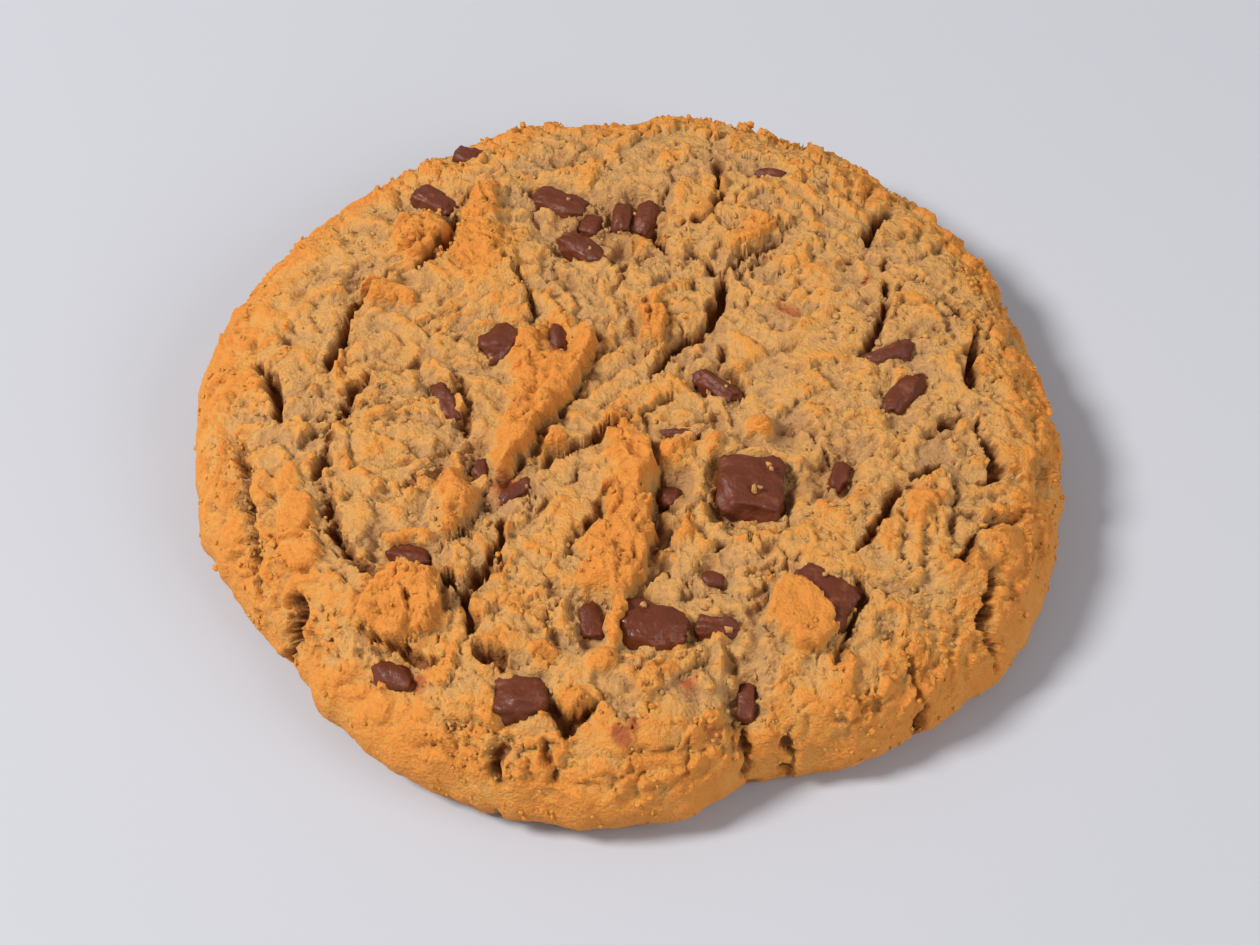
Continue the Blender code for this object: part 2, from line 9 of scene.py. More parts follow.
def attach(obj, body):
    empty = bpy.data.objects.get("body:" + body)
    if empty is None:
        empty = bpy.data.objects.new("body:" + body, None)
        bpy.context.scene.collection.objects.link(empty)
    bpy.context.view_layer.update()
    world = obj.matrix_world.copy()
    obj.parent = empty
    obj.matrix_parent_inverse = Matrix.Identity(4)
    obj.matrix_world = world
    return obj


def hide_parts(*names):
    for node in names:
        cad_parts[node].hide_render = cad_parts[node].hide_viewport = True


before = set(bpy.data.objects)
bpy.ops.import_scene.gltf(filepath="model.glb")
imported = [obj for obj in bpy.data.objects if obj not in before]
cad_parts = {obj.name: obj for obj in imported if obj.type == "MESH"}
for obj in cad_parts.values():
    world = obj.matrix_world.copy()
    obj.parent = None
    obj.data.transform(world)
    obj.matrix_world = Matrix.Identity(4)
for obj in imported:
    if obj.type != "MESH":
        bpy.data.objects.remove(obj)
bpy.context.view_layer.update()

# Camera.
# A short telephoto looks down on the cookie from the front, with the cookie's middle in the middle of
# the picture.
CAMERA_ELEVATION = math.radians(52)
CAMERA_DISTANCE = 0.340
CAMERA_LENS = 85

camera_data = bpy.data.cameras.new("camera")
camera_data.lens = CAMERA_LENS
camera_data.clip_start = 0.01
camera_data.clip_end = 10
camera = bpy.data.objects.new("camera", camera_data)
bpy.context.scene.collection.objects.link(camera)
camera.location = (
    0.0,
    -CAMERA_DISTANCE * math.cos(CAMERA_ELEVATION),
    CAMERA_DISTANCE * math.sin(CAMERA_ELEVATION),
)
camera.rotation_euler = (math.pi / 2 - CAMERA_ELEVATION, 0, 0)
bpy.context.scene.camera = camera
bpy.context.scene.view_settings.view_transform = "Standard"

# Dough.
# One baked piece: a low dome with a round shoulder and a ragged rim, whose top split into plates, flakes
# and crumbs as it rose and fell in the oven. Plan places are in millimetres from the cookie's middle.
MM = 0.001
GRID_CELLS = 480
DOUGH_TRIANGLES = 192000

# The plain dome: widest a little over the base, round at the shoulder, drawn in and grooved at the foot.
RIM_RADIUS = 48.8
THICKNESS = 14.8
WIDEST_HEIGHT = 4.0
SHOULDER_POWER = 8.2
FOOT_TUCK = 0.05
FOOT_GROOVE_HEIGHT = 2.0
FOOT_GROOVE_TALL = 0.45
FOOT_GROOVE_DEEP = 0.7

# Swells and dents of the rim: direction and half width in degrees, and how far the rim stands out.
RIM_SWELLS = (
    (14, 12, -0.9),
    (75, 9, 1.1),
    (91, 7, -1.6),
    (128, 14, -0.7),
    (172, 16, 0.6),
    (216, 13, -1.8),
    (253, 16, 0.8),
    (287, 8, -3.0),
    (301, 10, -1.0),
    (325, 14, 0.9),
)
RIM_RAGGED = 0.45

# The crumbly top starts above this height on the side, and takes over within this much more.
TOP_STARTS = 5.0
TOP_BLEND = 6.0

# Unevenness: how wide the lumps are, and how far they stand out.
LUMPS = ((17.0, 0.55), (7.0, 0.42), (3.2, 0.30))
TORN_LUMP = (1.8, 0.20)

# Rough patches of skin: how wide they are, how sharply they end, and how rough the smoothest skin and the
# sides still are beside them.
ROUGH_PATCH = 6.0
ROUGH_SHARPNESS = 1.5
SMOOTHEST = 0.15
SIDE_ROUGHNESS = 0.6

# How cracks wander off their routes, and how they narrow and widen on the way.
CRACK_WANDER = ((4.0, 0.8), (1.6, 0.5))
CRACK_NARROWS = (2.6, 0.7)
CRACK_MEAN_WIDTH = 0.6
CRACK_WIDTHS = (0.22, 1.2)

# Width, depth, how far the left side stands up, and the route.
CRACKS = (
    (1.5, 2.6, 0.3, ((-29, 16), (-31.5, 11.5), (-32.8, 6), (-34, 3.5))),
    (1.3, 2.4, 0.4, ((-20.2, 28), (-20.6, 22), (-23, 18.6), (-27, 17.6), (-29, 16))),
    (1.3, 2.3, 0.3, ((-28.8, 3), (-30.2, 0), (-32, -4), (-35, -5.6))),
    (1.4, 2.4, 0.0, ((-42.5, 8), (-40.8, 4), (-39.4, 0), (-38.3, -4))),
    (1.5, 2.6, 0.5, ((-43.5, -4.5), (-42.4, -10), (-41, -17), (-39.6, -24))),
    (1.4, 2.6, 0.8, ((-32.5, -6), (-33.8, -12), (-31.5, -19), (-28.5, -23.5), (-26, -24.3))),
    (1.0, 1.6, 0.0, ((-28.5, 4), (-25.5, 3.2), (-23.5, 4.8))),
    (1.2, 1.6, 0.0, ((-20, 5), (-18, 1.5), (-17.8, -6), (-17, -12))),
    (0.9, 1.5, -0.8, ((-13, 20), (-11.5, 13), (-11, 9.5))),
    (1.5, 2.8, 0.5, ((2.5, 2.5), (4.5, 6.5), (8.3, 8), (10.3, 14), (10.5, 17.5), (7.5, 20.5))),
    (1.0, 1.6, 0.3, ((10.5, 17.5), (12.5, 20.3), (18, 22.5))),
    (1.3, 2.2, 0.3, ((10.8, 36.5), (11, 30), (9, 27), (5.5, 25.3))),
    (1.0, 1.6, 0.0, ((3.2, 26), (2.7, 23.5), (3.5, 21), (1, 20))),
    (1.6, 2.8, 0.4, ((31, 29.5), (28.5, 26.5), (27.4, 22.5))),
    (1.2, 2.2, 0.3, ((29.6, 21.5), (29, 14), (27.3, 8.5), (25.4, 4.6))),
    (1.1, 1.7, 0.0, ((9.8, 6), (11.8, 2), (12, -0.5))),
    (1.7, 2.8, 0.4, ((36, 15), (39.2, 11.5), (39, 6.5), (37.5, 0.5))),
    (1.2, 1.8, 0.0, ((35.5, -1.5), (36.2, -3.5), (32, -6.5))),
    (1.3, 2.2, 0.2, ((37.8, -3.5), (40, -10), (37.8, -12))),
    (1.2, 1.9, 0.5, ((-10, -9.8), (-5, -7.5), (-1.5, -4.5), (4.5, -0.5))),
    (1.0, 1.2, -0.5, ((-1.8, -13.5), (-4.5, -18.5), (-6.5, -22))),
    (2.1, 3.2, 0.5, ((-13.6, -17.5), (-14.2, -23), (-17.2, -26.5), (-16.3, -33))),
    (1.2, 2.0, 0.0, ((-22, -22.3), (-19.8, -24.8), (-17.2, -26.5))),
    (1.4, 2.4, 0.6, ((34, -9), (31, -11.6), (28, -15.5), (26, -19), (23, -22.8))),
    (1.2, 2.0, 0.4, ((23.5, -25), (25, -28), (22.2, -33), (21.7, -34.8))),
    (1.4, 2.4, 0.5, ((43.8, -14.2), (38, -18), (35.5, -21.8), (32.8, -24))),
    (1.2, 2.2, 0.2, ((38.5, -22), (38, -28), (39, -31))),
    (1.0, 1.6, 0.0, ((35, -11.5), (34.7, -16), (34.8, -19.3))),
    (1.1, 2.0, 0.6, ((-29.3, -29.7), (-25.5, -32.4), (-20.2, -35.4))),
    (1.7, 2.2, 0.0, ((-35.5, -24.5), (-36, -28), (-38.2, -31.5))),
    (1.5, 2.6, 0.4, ((-16.2, -33.5), (-12.8, -36.6))),
    (1.6, 2.6, 0.3, ((-9, -39.7), (-6.3, -42.6), (-3, -39.8))),
    (1.6, 1.8, 0.0, ((-13.5, -43.4), (-14.0, -45.4), (-13.0, -47.2))),
    (1.1, 1.2, 0.0, ((-8.6, -44), (-8.6, -46.0), (-7.8, -47.4))),
    (1.1, 1.5, 0.0, ((14.3, -39.7), (12.3, -42.4), (12.4, -44.8))),
    (1.0, 1.3, 0.0, ((17, -40), (16.8, -42.3), (17.2, -43.8))),
    (1.4, 1.7, 0.0, ((30, -34), (30.6, -37), (31.4, -38.8))),
)
CRACK_WALL = 0.6
# The depth at which the painted shade of the cracks and hollows is darkest. It is also the most that cracks
# roughen the grain.
DEEPEST_CRACK = 2.2

# A crack's width at its ends and how much wider its middle is, and the worn shoulder of its walls: how
# deep it is, and how far it reaches in half widths.
CRACK_END = 0.45
CRACK_SWELLS = 0.55
CRACK_TAPER = 0.7
SHOULDER_DEEP = 0.25
SHOULDER_WIDE = 2.2

# The raised lip beside a crack, placed in half widths, and how far a step beside it reaches.
CRACK_LIP = 0.22
LIP_PLACE = 2.4
LIP_WIDE = 1.2
STEP_REACH = 3.5

# Fine cracks, too narrow for the solid: the same four values.
FINE_CRACKS = (
    (0.7, 0.9, 0.0, ((-36, 17.5), (-33.5, 17.9), (-31, 17.5))),
    (0.7, 0.8, 0.1, ((-17.5, 10), (-19, 8), (-19.8, 6))),
    (0.6, 0.8, 0.0, ((-44.8, 2), (-44.5, 0), (-44.3, -2.5))),
    (0.6, 0.7, 0.0, ((22.5, -13), (24, -14.5), (26, -16))),
    (0.7, 1.0, 0.1, ((9, -22), (10, -20.8), (11.5, -20.3))),
    (0.7, 0.9, 0.0, ((15.5, -22.6), (14.6, -23.5), (14, -24.8))),
    (0.6, 0.8, 0.0, ((34.5, -28), (34.3, -30))),
    (0.6, 0.8, 0.0, ((27, -27.5), (28.5, -28.5))),
    (0.6, 0.7, 0.0, ((27, -25.5), (29, -25.4), (31, -26))),
    (0.7, 1.0, 0.1, ((-16.1, -41), (-14.8, -42.3), (-14, -43))),
    (0.7, 0.9, 0.1, ((-1, -40.3), (0.2, -40.3), (1.4, -39.2), (2.4, -38.3))),
    (0.7, 0.9, 0.0, ((9.8, -33.5), (10.2, -34.7), (11, -36))),
    (0.6, 0.8, 0.0, ((26, -35), (27.8, -35.6))),
    (0.6, 0.8, 0.0, ((24.4, -37.8), (26.2, -38.7))),
    (0.6, 0.8, 0.0, ((19.3, -35), (19.9, -35.8))),
    (0.6, 0.8, 0.0, ((8.3, -27), (8, -28.3))),
    (0.7, 0.9, 0.2, ((-10, -12.5), (-9.7, -15))),
    (0.7, 0.9, 0.2, ((-8, -13.8), (-9, -16), (-10, -17.5))),
    (0.6, 0.7, 0.0, ((-6, 11), (-3.5, 11.6), (-1, 11.5))),
    (0.7, 1.0, 0.0, ((40.3, 14), (40, 12))),
)

# Raised flakes and ridges: width at the start and the end, height, which side drops steeply (1 the left,
# -1 the right, 0 both), and the route of the middle line.
FLAKES = (
    (7.0, 3.0, 2.6, 1, ((-7.4, 6.2), (-9.4, 1), (-11.4, -5), (-13.8, -10.6))),
    (4.8, 1.8, 1.8, 1, ((-18.2, -12.6), (-18.6, -19.2))),
    (6.0, 8.6, 1.4, 0, ((-23.4, -24.6), (-24.2, -29))),
    (3.4, 1.8, 1.2, 1, ((-29, 14.9), (-25.2, 13.3))),
    (4.2, 4.6, 1.3, -1, ((-17.2, 28.5), (-17.6, 20.5))),
    (1.8, 2.0, 1.3, 0, ((2.6, 12), (2.3, 7.5))),
    (4.0, 6.4, 1.9, 1, ((-0.4, -5), (0.6, -13), (-0.4, -20), (-1.6, -25))),
    (2.4, 1.4, 1.0, -1, ((8.4, -16.6), (3.8, -21.8))),
    (5.0, 4.0, 0.9, 0, ((-36.4, -12), (-35.4, -21))),
    (3.0, 3.0, 0.8, 0, ((6.0, -34.5), (2.2, -38.0))),
    (4.0, 3.0, 0.8, 0, ((12.6, 22.5), (17.5, 26.5))),
    (3.4, 2.6, 0.9, -1, ((33.0, -12.5), (31.0, -17.0))),
)
FLAKE_EDGE = 0.6
FLAKE_SLOPE = 1.6
# The gap beside a steep edge: its width, and its depth as a share of the flake's height. It is a real
# groove, and its depth also darkens the colour there as a painted shadow.
FLAKE_GAP_WIDTH = 0.4
FLAKE_GAP_SHARE = 0.5

# Dough that laps over a chunk: width, height over the plain dome, and the route of the middle line.
LAPS = (
    (6.2, 1.9, ((18.4, -30.8), (17.7, -28.9))),
    (1.4, 2.2, ((-2.0, -25.4), (-1.0, -28.2), (-1.6, -31.2), (-1.7, -34.2))),
    (1.6, 0.9, ((-21.6, -20.2), (-25.5, -19.9))),
    (2.8, 1.6, ((-12.0, 4.4), (-11.0, 7.0))),
)
LAP_EDGE = 0.7
LAP_DROP = 3.0

# Hollows: plan place, half widths, depth.
DIMPLES = (
    (-2.6, 25.5, 6.6, 5.2, 2.2),
    (-26, 5, 2.4, 2.0, 0.8),
    (-8, 36, 3.0, 1.8, 1.0),
    (4.2, -13, 2.0, 2.4, 2.2),
    (3.6, -20, 1.6, 5.0, 1.5),
    (-20.6, -10.5, 1.6, 3.0, 1.6),
    (21.8, -11, 2.6, 2.6, 1.8),
    (9, -3.8, 2.4, 1.2, 1.5),
    (12, -38, 1.6, 2.8, 2.0),
    (17.5, -5.5, 2.2, 2.6, 0.9),
    (18.5, -13, 2.0, 2.6, 1.0),
    (13.2, -29.5, 1.6, 1.8, 0.9),
    (-34.5, -5.7, 1.6, 1.4, 1.0),
    (45.2, -8, 1.4, 2.2, 1.2),
)
# Painted shade: how much the hollows darken the colour, as a share of their depth.
HOLLOW_PAINTED_SHADE = 0.35

# Rounded crumbs of dough that lie on the top: plan place, radius.
CRUMBS = (
    (5, -8.5, 2.2),
    (8.5, -7.5, 1.7),
    (14, -5.5, 1.8),
    (-8, -7.5, 1.3),
    (-2, 23.5, 1.4),
    (1.2, 22.5, 1.8),
    (-3, -35.6, 1.8),
    (-9, -35.2, 1.7),
    (-5.8, -40.4, 1.6),
    (-24, 23, 3.6),
)
CRUMB_STANDS = 0.75

# Places where chocolate melted into the dough: plan place and half widths.
SMEARS = (
    (18, 12.3, 1.7, 1.0),
    (27, 16.7, 0.8, 0.7),
    (-22.5, -37.3, 1.5, 1.2),
    (-1, -43.5, 1.0, 0.9),
    (0.4, -42.7, 0.9, 0.8),
    (6.3, -37.8, 1.0, 0.8),
    (8.3, -42.8, 1.1, 0.9),
    (-8.2, 6.4, 1.2, 2.2),
    (-13, -13.2, 2.4, 1.5),
    (3.6, -30.0, 1.0, 0.8),
)

# An oval fades out at this many times its half widths.
OVAL_EDGE = 1.3

# Crumbs that the skin tears along: how wide, and how far a torn edge follows them.
TORN_CRUMB = 1.4
TORN_SHARE = 0.5
SMALL_CRUMB = 0.7
SMALL_SHARE = 0.25
CRUMB_UNEVEN = 0.10

# Large uneven steps, from which each crumb gets a value of its own.
SCATTER_DIRECTION = (12.71, 31.17, 7.47)
SCATTER_REACH = 437.585

# Rounded grains of baked crumb all over the skin and the walls of the cracks: how wide they are, and how
# far they stand out. The finest unevenness is given in the same way.
GRAINS = ((1.1, 0.10), (0.6, 0.10))
GRAIN_REACH = 0.6
FINE_LUMPS = ((0.9, 0.07), (0.5, 0.06))
SMOOTH_SKIN = 0.35
ROUGHER_IN_CRACKS = 1.2

# Overlapping layers of torn skin: how wide they are, how many overlap, how high their edges stand.
LAYERS = ((14.0, 3.2, 1.15), (6.0, 2.2, 0.4))
LAYER_EDGE = 0.08
LAYER_WAVE = 0.4
LAYER_WAVE_SHARE = 0.35

# Thin cracks between small plates of skin: how wide the plates are, and how wide and deep the cracks.
CRACKLE = ((5.2, 0.24, 0.9), (2.7, 0.16, 0.4))

# Where the skin is crackled: how wide the places are, how much of it they take, how sharply they end.
CRACKLED_PLACE = 6.0
CRACKLED_SHARE = 0.35
CRACKLED_SHARPNESS = 2.2

# Chunks and chips, which the dough is settled round: plan place, length, width and height, heading in
# degrees, tilts along and across, how high the dough lies round it over the plain dome, how far the top
# stands over that dough, and how square its form is, from 2 for an egg to 9 for a brick.
CHUNKS = {
    "chunk_square_middle": ((13.0, -13.6), (7.2, 7.2, 5.6), -4, (-9, 3), -1.9, 3.4, 9.0),
    "chunk_square_front": ((19.8, -28.0), (7.2, 6.4, 5.0), -27, (-8, 4), -0.3, 1.2, 8.0),
    "chunk_melted_front": ((2.2, -31.6), (7.8, 5.4, 4.6), -14, (-10, 3), -0.6, 1.7, 5.0),
    "chunk_slab_front": ((9.1, -31.4), (4.6, 2.4, 3.0), -10, (-12, 0), -0.6, 0.8, 5.0),
    "chunk_front_left": ((-11.5, -39.3), (5.8, 4.4, 4.2), 12, (-18, 4), -0.7, 1.3, 4.5),
    "chunk_crevice": ((-23.8, -21.6), (5.0, 2.6, 3.0), -12, (-14, 0), -1.1, 0.6, 4.0),
    "chunk_left_slit": ((-20.3, -0.5), (6.4, 2.3, 3.0), -70, (8, 0), -0.9, 0.7, 3.5),
    "chunk_left_middle": ((-14.2, 7.0), (5.4, 4.4, 4.2), 38, (-14, 8), -0.8, 1.5, 4.5),
    "chunk_back_left": ((-22.8, 29.6), (5.6, 3.1, 3.2), -33, (-10, 0), -0.8, 1.0, 4.5),
    "chunk_back_long": ((-8.2, 29.3), (6.4, 3.6, 3.2), -22, (-10, 4), -1.6, 1.2, 4.0),
    "chunk_back_low": ((-5.5, 22.1), (6.4, 3.4, 3.4), -38, (-12, 0), -1.6, 1.2, 4.0),
    "chunk_centre_right": ((9.6, 1.3), (5.8, 2.5, 2.8), -38, (-10, 0), -0.7, 0.8, 4.0),
    "chunk_right_upper": ((29.1, 5.8), (5.8, 2.8, 3.0), 26, (-12, 0), -0.7, 0.9, 4.0),
    "chunk_right_lower": ((30.3, 0.3), (7.4, 3.1, 3.2), 53, (-12, 0), -0.9, 1.2, 4.0),
}
CHIPS = (
    ((-19.0, 38.8), (4.0, 3.2, 3.0), -22, (-12, 0), -0.8, 0.8, 4.0),
    ((-0.9, 27.4), (4.4, 2.4, 3.0), 82, (4, 6), -1.9, 1.2, 4.0),
    ((1.9, 27.2), (4.8, 2.5, 3.0), 78, (-4, -6), -1.9, 1.4, 4.0),
    ((-4.4, 26.4), (3.6, 2.8, 2.6), 70, (0, 8), -2.2, 1.0, 3.6),
    ((-8.0, 8.2), (3.6, 2.4, 3.0), 84, (0, -10), -0.6, 0.8, 3.4),
    ((16.8, 34.3), (4.4, 1.6, 2.4), -10, (-10, 0), -0.7, 0.3, 3.0),
    ((22.6, -11.0), (4.0, 2.0, 3.0), 72, (12, 0), -1.7, 1.2, 4.0),
    ((8.6, -25.0), (2.8, 2.4, 2.8), 10, (-10, 0), -1.0, 0.6, 3.4),
    ((-4.0, -30.6), (4.6, 2.8, 3.0), 100, (8, 0), -0.8, 1.0, 3.4),
    ((-24.8, -35.8), (4.4, 2.8, 3.0), -22, (-22, 0), -0.8, 0.8, 3.6),
    ((12.0, -38.0), (4.2, 2.0, 3.0), 88, (0, -10), -2.4, 0.5, 4.0),
    ((4.2, -12.9), (3.0, 2.4, 2.6), 60, (0, 0), -2.4, 0.6, 3.4),
    ((5.6, -5.6), (5.6, 1.3, 2.0), -6, (-12, 0), -0.6, 0.3, 3.0),
    ((-16.2, -10.2), (3.2, 1.9, 2.4), 70, (0, 0), -1.2, 0.5, 3.2),
    ((-12.2, -12.9), (5.4, 1.6, 2.2), 42, (0, 0), -1.2, 0.5, 3.2),
)
CHOCOLATE_ROWS = (*CHUNKS.values(), *CHIPS)

# The collar of dough round each of them: how far it reaches, where its torn edge lies and how wide, high
# and ragged that edge is.
COLLAR_REACH = 1.8
COLLAR_EDGE_PLACE = 0.2
COLLAR_EDGE_WIDE = 0.8
COLLAR_STANDS = 0.25
COLLAR_RAGGED = 2.0
COLLAR_LUMP = 2.0

# How far the dough lies below the top inside the collar, how wide its wall is, and how far in it starts.
UNDER_CHUNK = 1.7
SINK_WALL = 0.4
SINK_STARTS = 0.9

# Steep walls are worn even: how far up they may face, and how often they are worn.
WALL_FACES_UP = 0.55
WALL_ROUNDS = 3

# How browned the crumb is. Heights count within limits, with higher places browner and lower places darker
# and greyer, partly browning and partly painted shade; flakes and laps brown in patches, and every crumb is
# a little different.
PLAIN_TONE = 0.36
BROWNING_AND_SHADE_HEIGHTS = (-2.0, 2.5)
HEIGHT_TONE = 0.16
LAYER_TONE = 0.22
FLAKE_TONE = 0.34
FLAKE_TONE_HEIGHT = 1.5
LAP_BROWNED = 1.2
BROWNED_PATCH = 4.0
BROWNED_MEAN = 0.65
BROWNED_SPREAD = 0.6
CRUMB_TONE = 0.05
SMALL_CRUMB_TONE = 0.04
# Grain tops take a lighter tone and the gaps between them a darker one, partly painted shade.
GRAIN_TONE = 0.5

# The rim browns most: where that starts as a share of the way out and down, over how much, and how far.
RIM_BROWNING = ((0.62, 0.2, 0.36), (0.9, 0.05, 0.3))


def ripple(points, size, seed):
    """Smooth unevenness between about -1 and 1 at each point, with lumps about size across."""
    placed = points / size + (seed * 7.31, seed * 3.17, seed * 5.73)
    return np.fromiter(map(noise.noise, map(Vector, placed.tolist())), float, len(points))


def smooth_step(value):
    """0 below 0, 1 above 1, and an even S between them."""
    share = np.clip(value, 0.0, 1.0)
    return share * share * (3.0 - 2.0 * share)


def rim_radius(angle):
    """Radius of the rim in each direction, in radians."""
    radius = np.full_like(angle, RIM_RADIUS)
    for direction, half_width, stands_out in RIM_SWELLS:
        away = np.degrees(angle) - direction
        away = (away + 180.0) % 360.0 - 180.0
        radius += stands_out * np.exp(-((away / half_width) ** 2))
    around = np.column_stack((np.cos(angle), np.sin(angle), np.zeros_like(angle)))
    radius += RIM_RAGGED * ripple(around * RIM_RADIUS, 6.0, 1)
    radius += RIM_RAGGED * ripple(around * RIM_RADIUS, 2.4, 2)
    return radius


def dome_profile(samples=400):
    """The dome's section from the middle of the top to the edge of the base.

    Returns the share of the way along it, the share of the rim's radius, and the height."""
    share = np.sin(np.linspace(0.0, math.pi / 2, samples))
    over = THICKNESS - WIDEST_HEIGHT
    top = WIDEST_HEIGHT + over * np.sqrt(1.0 - share**SHOULDER_POWER)
    down = np.linspace(0.0, 1.0, samples)[1:]
    low = WIDEST_HEIGHT * (1.0 - down)
    tuck = 1.0 - FOOT_TUCK * down**2
    groove = np.exp(-(((low - FOOT_GROOVE_HEIGHT) / FOOT_GROOVE_TALL) ** 2))
    tuck -= FOOT_GROOVE_DEEP / RIM_RADIUS * groove
    shares = np.concatenate((share, tuck))
    heights = np.concatenate((top, low))
    steps = np.hypot(np.diff(shares * RIM_RADIUS), np.diff(heights))
    way = np.concatenate(((0.0,), np.cumsum(steps)))
    return way / way[-1], shares, heights


def along_route(x, y, route):
    """Distance of each place from the route, its side (+ to the left), and its share of the way along."""
    corners = np.array(route, float)
    runs = np.hypot(*np.diff(corners, axis=0).T)
    walked = np.concatenate(((0.0,), np.cumsum(runs)))
    nearest = np.full_like(x, np.inf)
    side = np.ones_like(x)
    share = np.zeros_like(x)
    for start, end, before, run in zip(corners, corners[1:], walked, runs, strict=False):
        dx, dy = (end - start) / run
        forward = (x - start[0]) * dx + (y - start[1]) * dy
        leftward = (y - start[1]) * dx - (x - start[0]) * dy
        reached = np.clip(forward, 0.0, run)
        away = np.hypot(forward - reached, leftward)
        closer = away < nearest
        nearest = np.where(closer, away, nearest)
        side = np.where(closer, np.sign(leftward), side)
        share = np.where(closer, (before + reached) / walked[-1], share)
    return nearest, side, share


def crack_relief(x, y, cracks, narrows):
    """Lips and steps beside the cracks, and apart from them how deep each place lies in a crack."""
    beside = np.zeros_like(x)
    depth_here = np.zeros_like(x)
    for width, depth, step, route in cracks:
        away, side, share = along_route(x, y, route)
        taper = CRACK_END + CRACK_SWELLS * np.sin(math.pi * np.clip(share, 0.0, 1.0)) ** CRACK_TAPER
        half = 0.5 * width * taper * narrows
        shoulder = SHOULDER_DEEP * np.exp(-((away / (SHOULDER_WIDE * half)) ** 2))
        open_here = smooth_step((half - away) / CRACK_WALL + 0.5) + shoulder
        depth_here = np.maximum(depth_here, depth * taper * open_here)
        beside += CRACK_LIP * np.exp(-(((away - LIP_PLACE * half) / (LIP_WIDE * half)) ** 2))
        beside += step * side * taper * np.tanh(away / half) * np.exp(-away / STEP_REACH)
    return beside, depth_here


def flake_relief(x, y):
    """Raised flakes that widen or narrow along their routes, steep on one side or on both.

    Returns how high they stand, and how deep the gap is beside each steep edge; that real groove also
    darkens the colour there as a painted shadow."""
    relief = np.zeros_like(x)
    gap = np.zeros_like(x)
    for first_width, last_width, height, steep_side, route in FLAKES:
        away, side, share = along_route(x, y, route)
        half = 0.5 * (first_width + (last_width - first_width) * share)
        is_steep = side * steep_side >= 0.0
        steep = smooth_step((half - away) / FLAKE_EDGE + 0.5)
        sloping = smooth_step((FLAKE_SLOPE * half - away) / half)
        relief = np.maximum(relief, height * np.where(is_steep, steep, sloping))
        beside = np.exp(-(((away - half - FLAKE_GAP_WIDTH) / FLAKE_GAP_WIDTH) ** 2))
        gap = np.maximum(gap, FLAKE_GAP_SHARE * height * beside * is_steep)
    return relief, gap


def lap_share(x, y, lap):
    """1 on a lap of dough and 0 outside it."""
    width, _, route = lap
    away, _, _ = along_route(x, y, route)
    return smooth_step((0.5 * width - away) / LAP_EDGE + 0.5)


def lap_relief(x, y, relief):
    """The relief with the laps of dough laid over it."""
    for lap in LAPS:
        inside = lap_share(x, y, lap)
        laid = np.maximum(relief, lap[1] - LAP_DROP * (1.0 - inside))
        relief = np.where(inside > 0.0, laid, relief)
    return relief


def footprint_distance(x, y, row):
    """About how far each place is from a chunk's rounded footprint, less than 0 inside it."""
    place, size, heading = row[:3]
    squareness = row[-1]
    turn = math.radians(heading)
    along = (x - place[0]) * math.cos(turn) + (y - place[1]) * math.sin(turn)
    across = (y - place[1]) * math.cos(turn) - (x - place[0]) * math.sin(turn)
    share = (np.abs(2.0 * along / size[0]) ** squareness + np.abs(2.0 * across / size[1]) ** squareness)
    return (share ** (1.0 / squareness) - 1.0) * 0.5 * min(size[:2])


def settle_round_chunks(x, y, relief, ragged):
    """The relief eased to the height at which the dough lies round each chunk, ragged at its edge.

    Returns the relief, and how near each place is to a chunk, from 0 to 1."""
    near = np.zeros_like(x)
    for row in CHOCOLATE_ROWS:
        away = footprint_distance(x, y, row)
        eased = smooth_step(1.0 - away / COLLAR_REACH)
        relief = relief + eased * (row[4] - relief)
        collar = np.exp(-(((away - COLLAR_EDGE_PLACE) / COLLAR_EDGE_WIDE) ** 2))
        relief += collar * (COLLAR_RAGGED * ragged + COLLAR_STANDS)
        near = np.maximum(near, eased)
    return relief, near


def sink_under_chunks(x, y, relief, lapped):
    """The relief with the dough well below the top of each chunk, save where it laps over it."""
    for row in CHOCOLATE_ROWS:
        inside = smooth_step(-footprint_distance(x, y, row) / SINK_WALL - SINK_STARTS) * (1.0 - lapped)
        bed = np.minimum(relief, row[4] + row[5] - UNDER_CHUNK)
        relief = relief + inside * (bed - relief)
    return relief


def oval_share(x, y, ovals):
    """1 in the middle of the nearest oval and 0 outside them all."""
    share = np.zeros_like(x)
    for centre_x, centre_y, half_x, half_y in ovals:
        away = np.hypot((x - centre_x) / half_x, (y - centre_y) / half_y)
        share = np.maximum(share, smooth_step(OVAL_EDGE - away))
    return share


def hollow_depth(x, y):
    """How deep each place lies in a hollow."""
    relief = np.zeros_like(x)
    for *oval, depth in DIMPLES:
        relief += depth * oval_share(x, y, (oval,))
    return relief


def crumb_relief(x, y):
    """How high the rounded crumbs stand over the top."""
    relief = np.zeros_like(x)
    for centre_x, centre_y, radius in CRUMBS:
        away = np.hypot(x - centre_x, y - centre_y)
        cap = np.sqrt(np.clip(radius**2 - away**2, 0.0, None))
        relief = np.maximum(relief, CRUMB_STANDS * cap)
    return relief


def packed_crumbs(points, size):
    """Crumbs about size across, packed side by side.

    Returns the middle of each place's crumb, and how far the place is from that middle."""
    found = [noise.voronoi(Vector(place)) for place in (points / size).tolist()]
    middles = size * np.array([centres[0] for _, centres in found])
    near = size * np.array([distances[0] for distances, _ in found])
    return middles, near


def scattered_value(places):
    """A value between -1 and 1 that jumps from one place to the next without a pattern."""
    mixed = np.sin(places @ np.array(SCATTER_DIRECTION)) * SCATTER_REACH
    return 2.0 * (mixed - np.floor(mixed)) - 1.0


def torn_layers(torn):
    """Layers of skin that overlap like shingles: each slopes down to the torn edge of the next."""
    relief = np.zeros(len(torn))
    for seed, (size, overlaps, height) in enumerate(LAYERS, start=61):
        wave = LAYER_WAVE_SHARE * ripple(torn, LAYER_WAVE * size, seed + 5)
        rise = overlaps * (ripple(torn, size, seed) + wave)
        along = rise - np.floor(rise)
        relief += height * (smooth_step(along / LAYER_EDGE) - along - 0.5)
    return relief


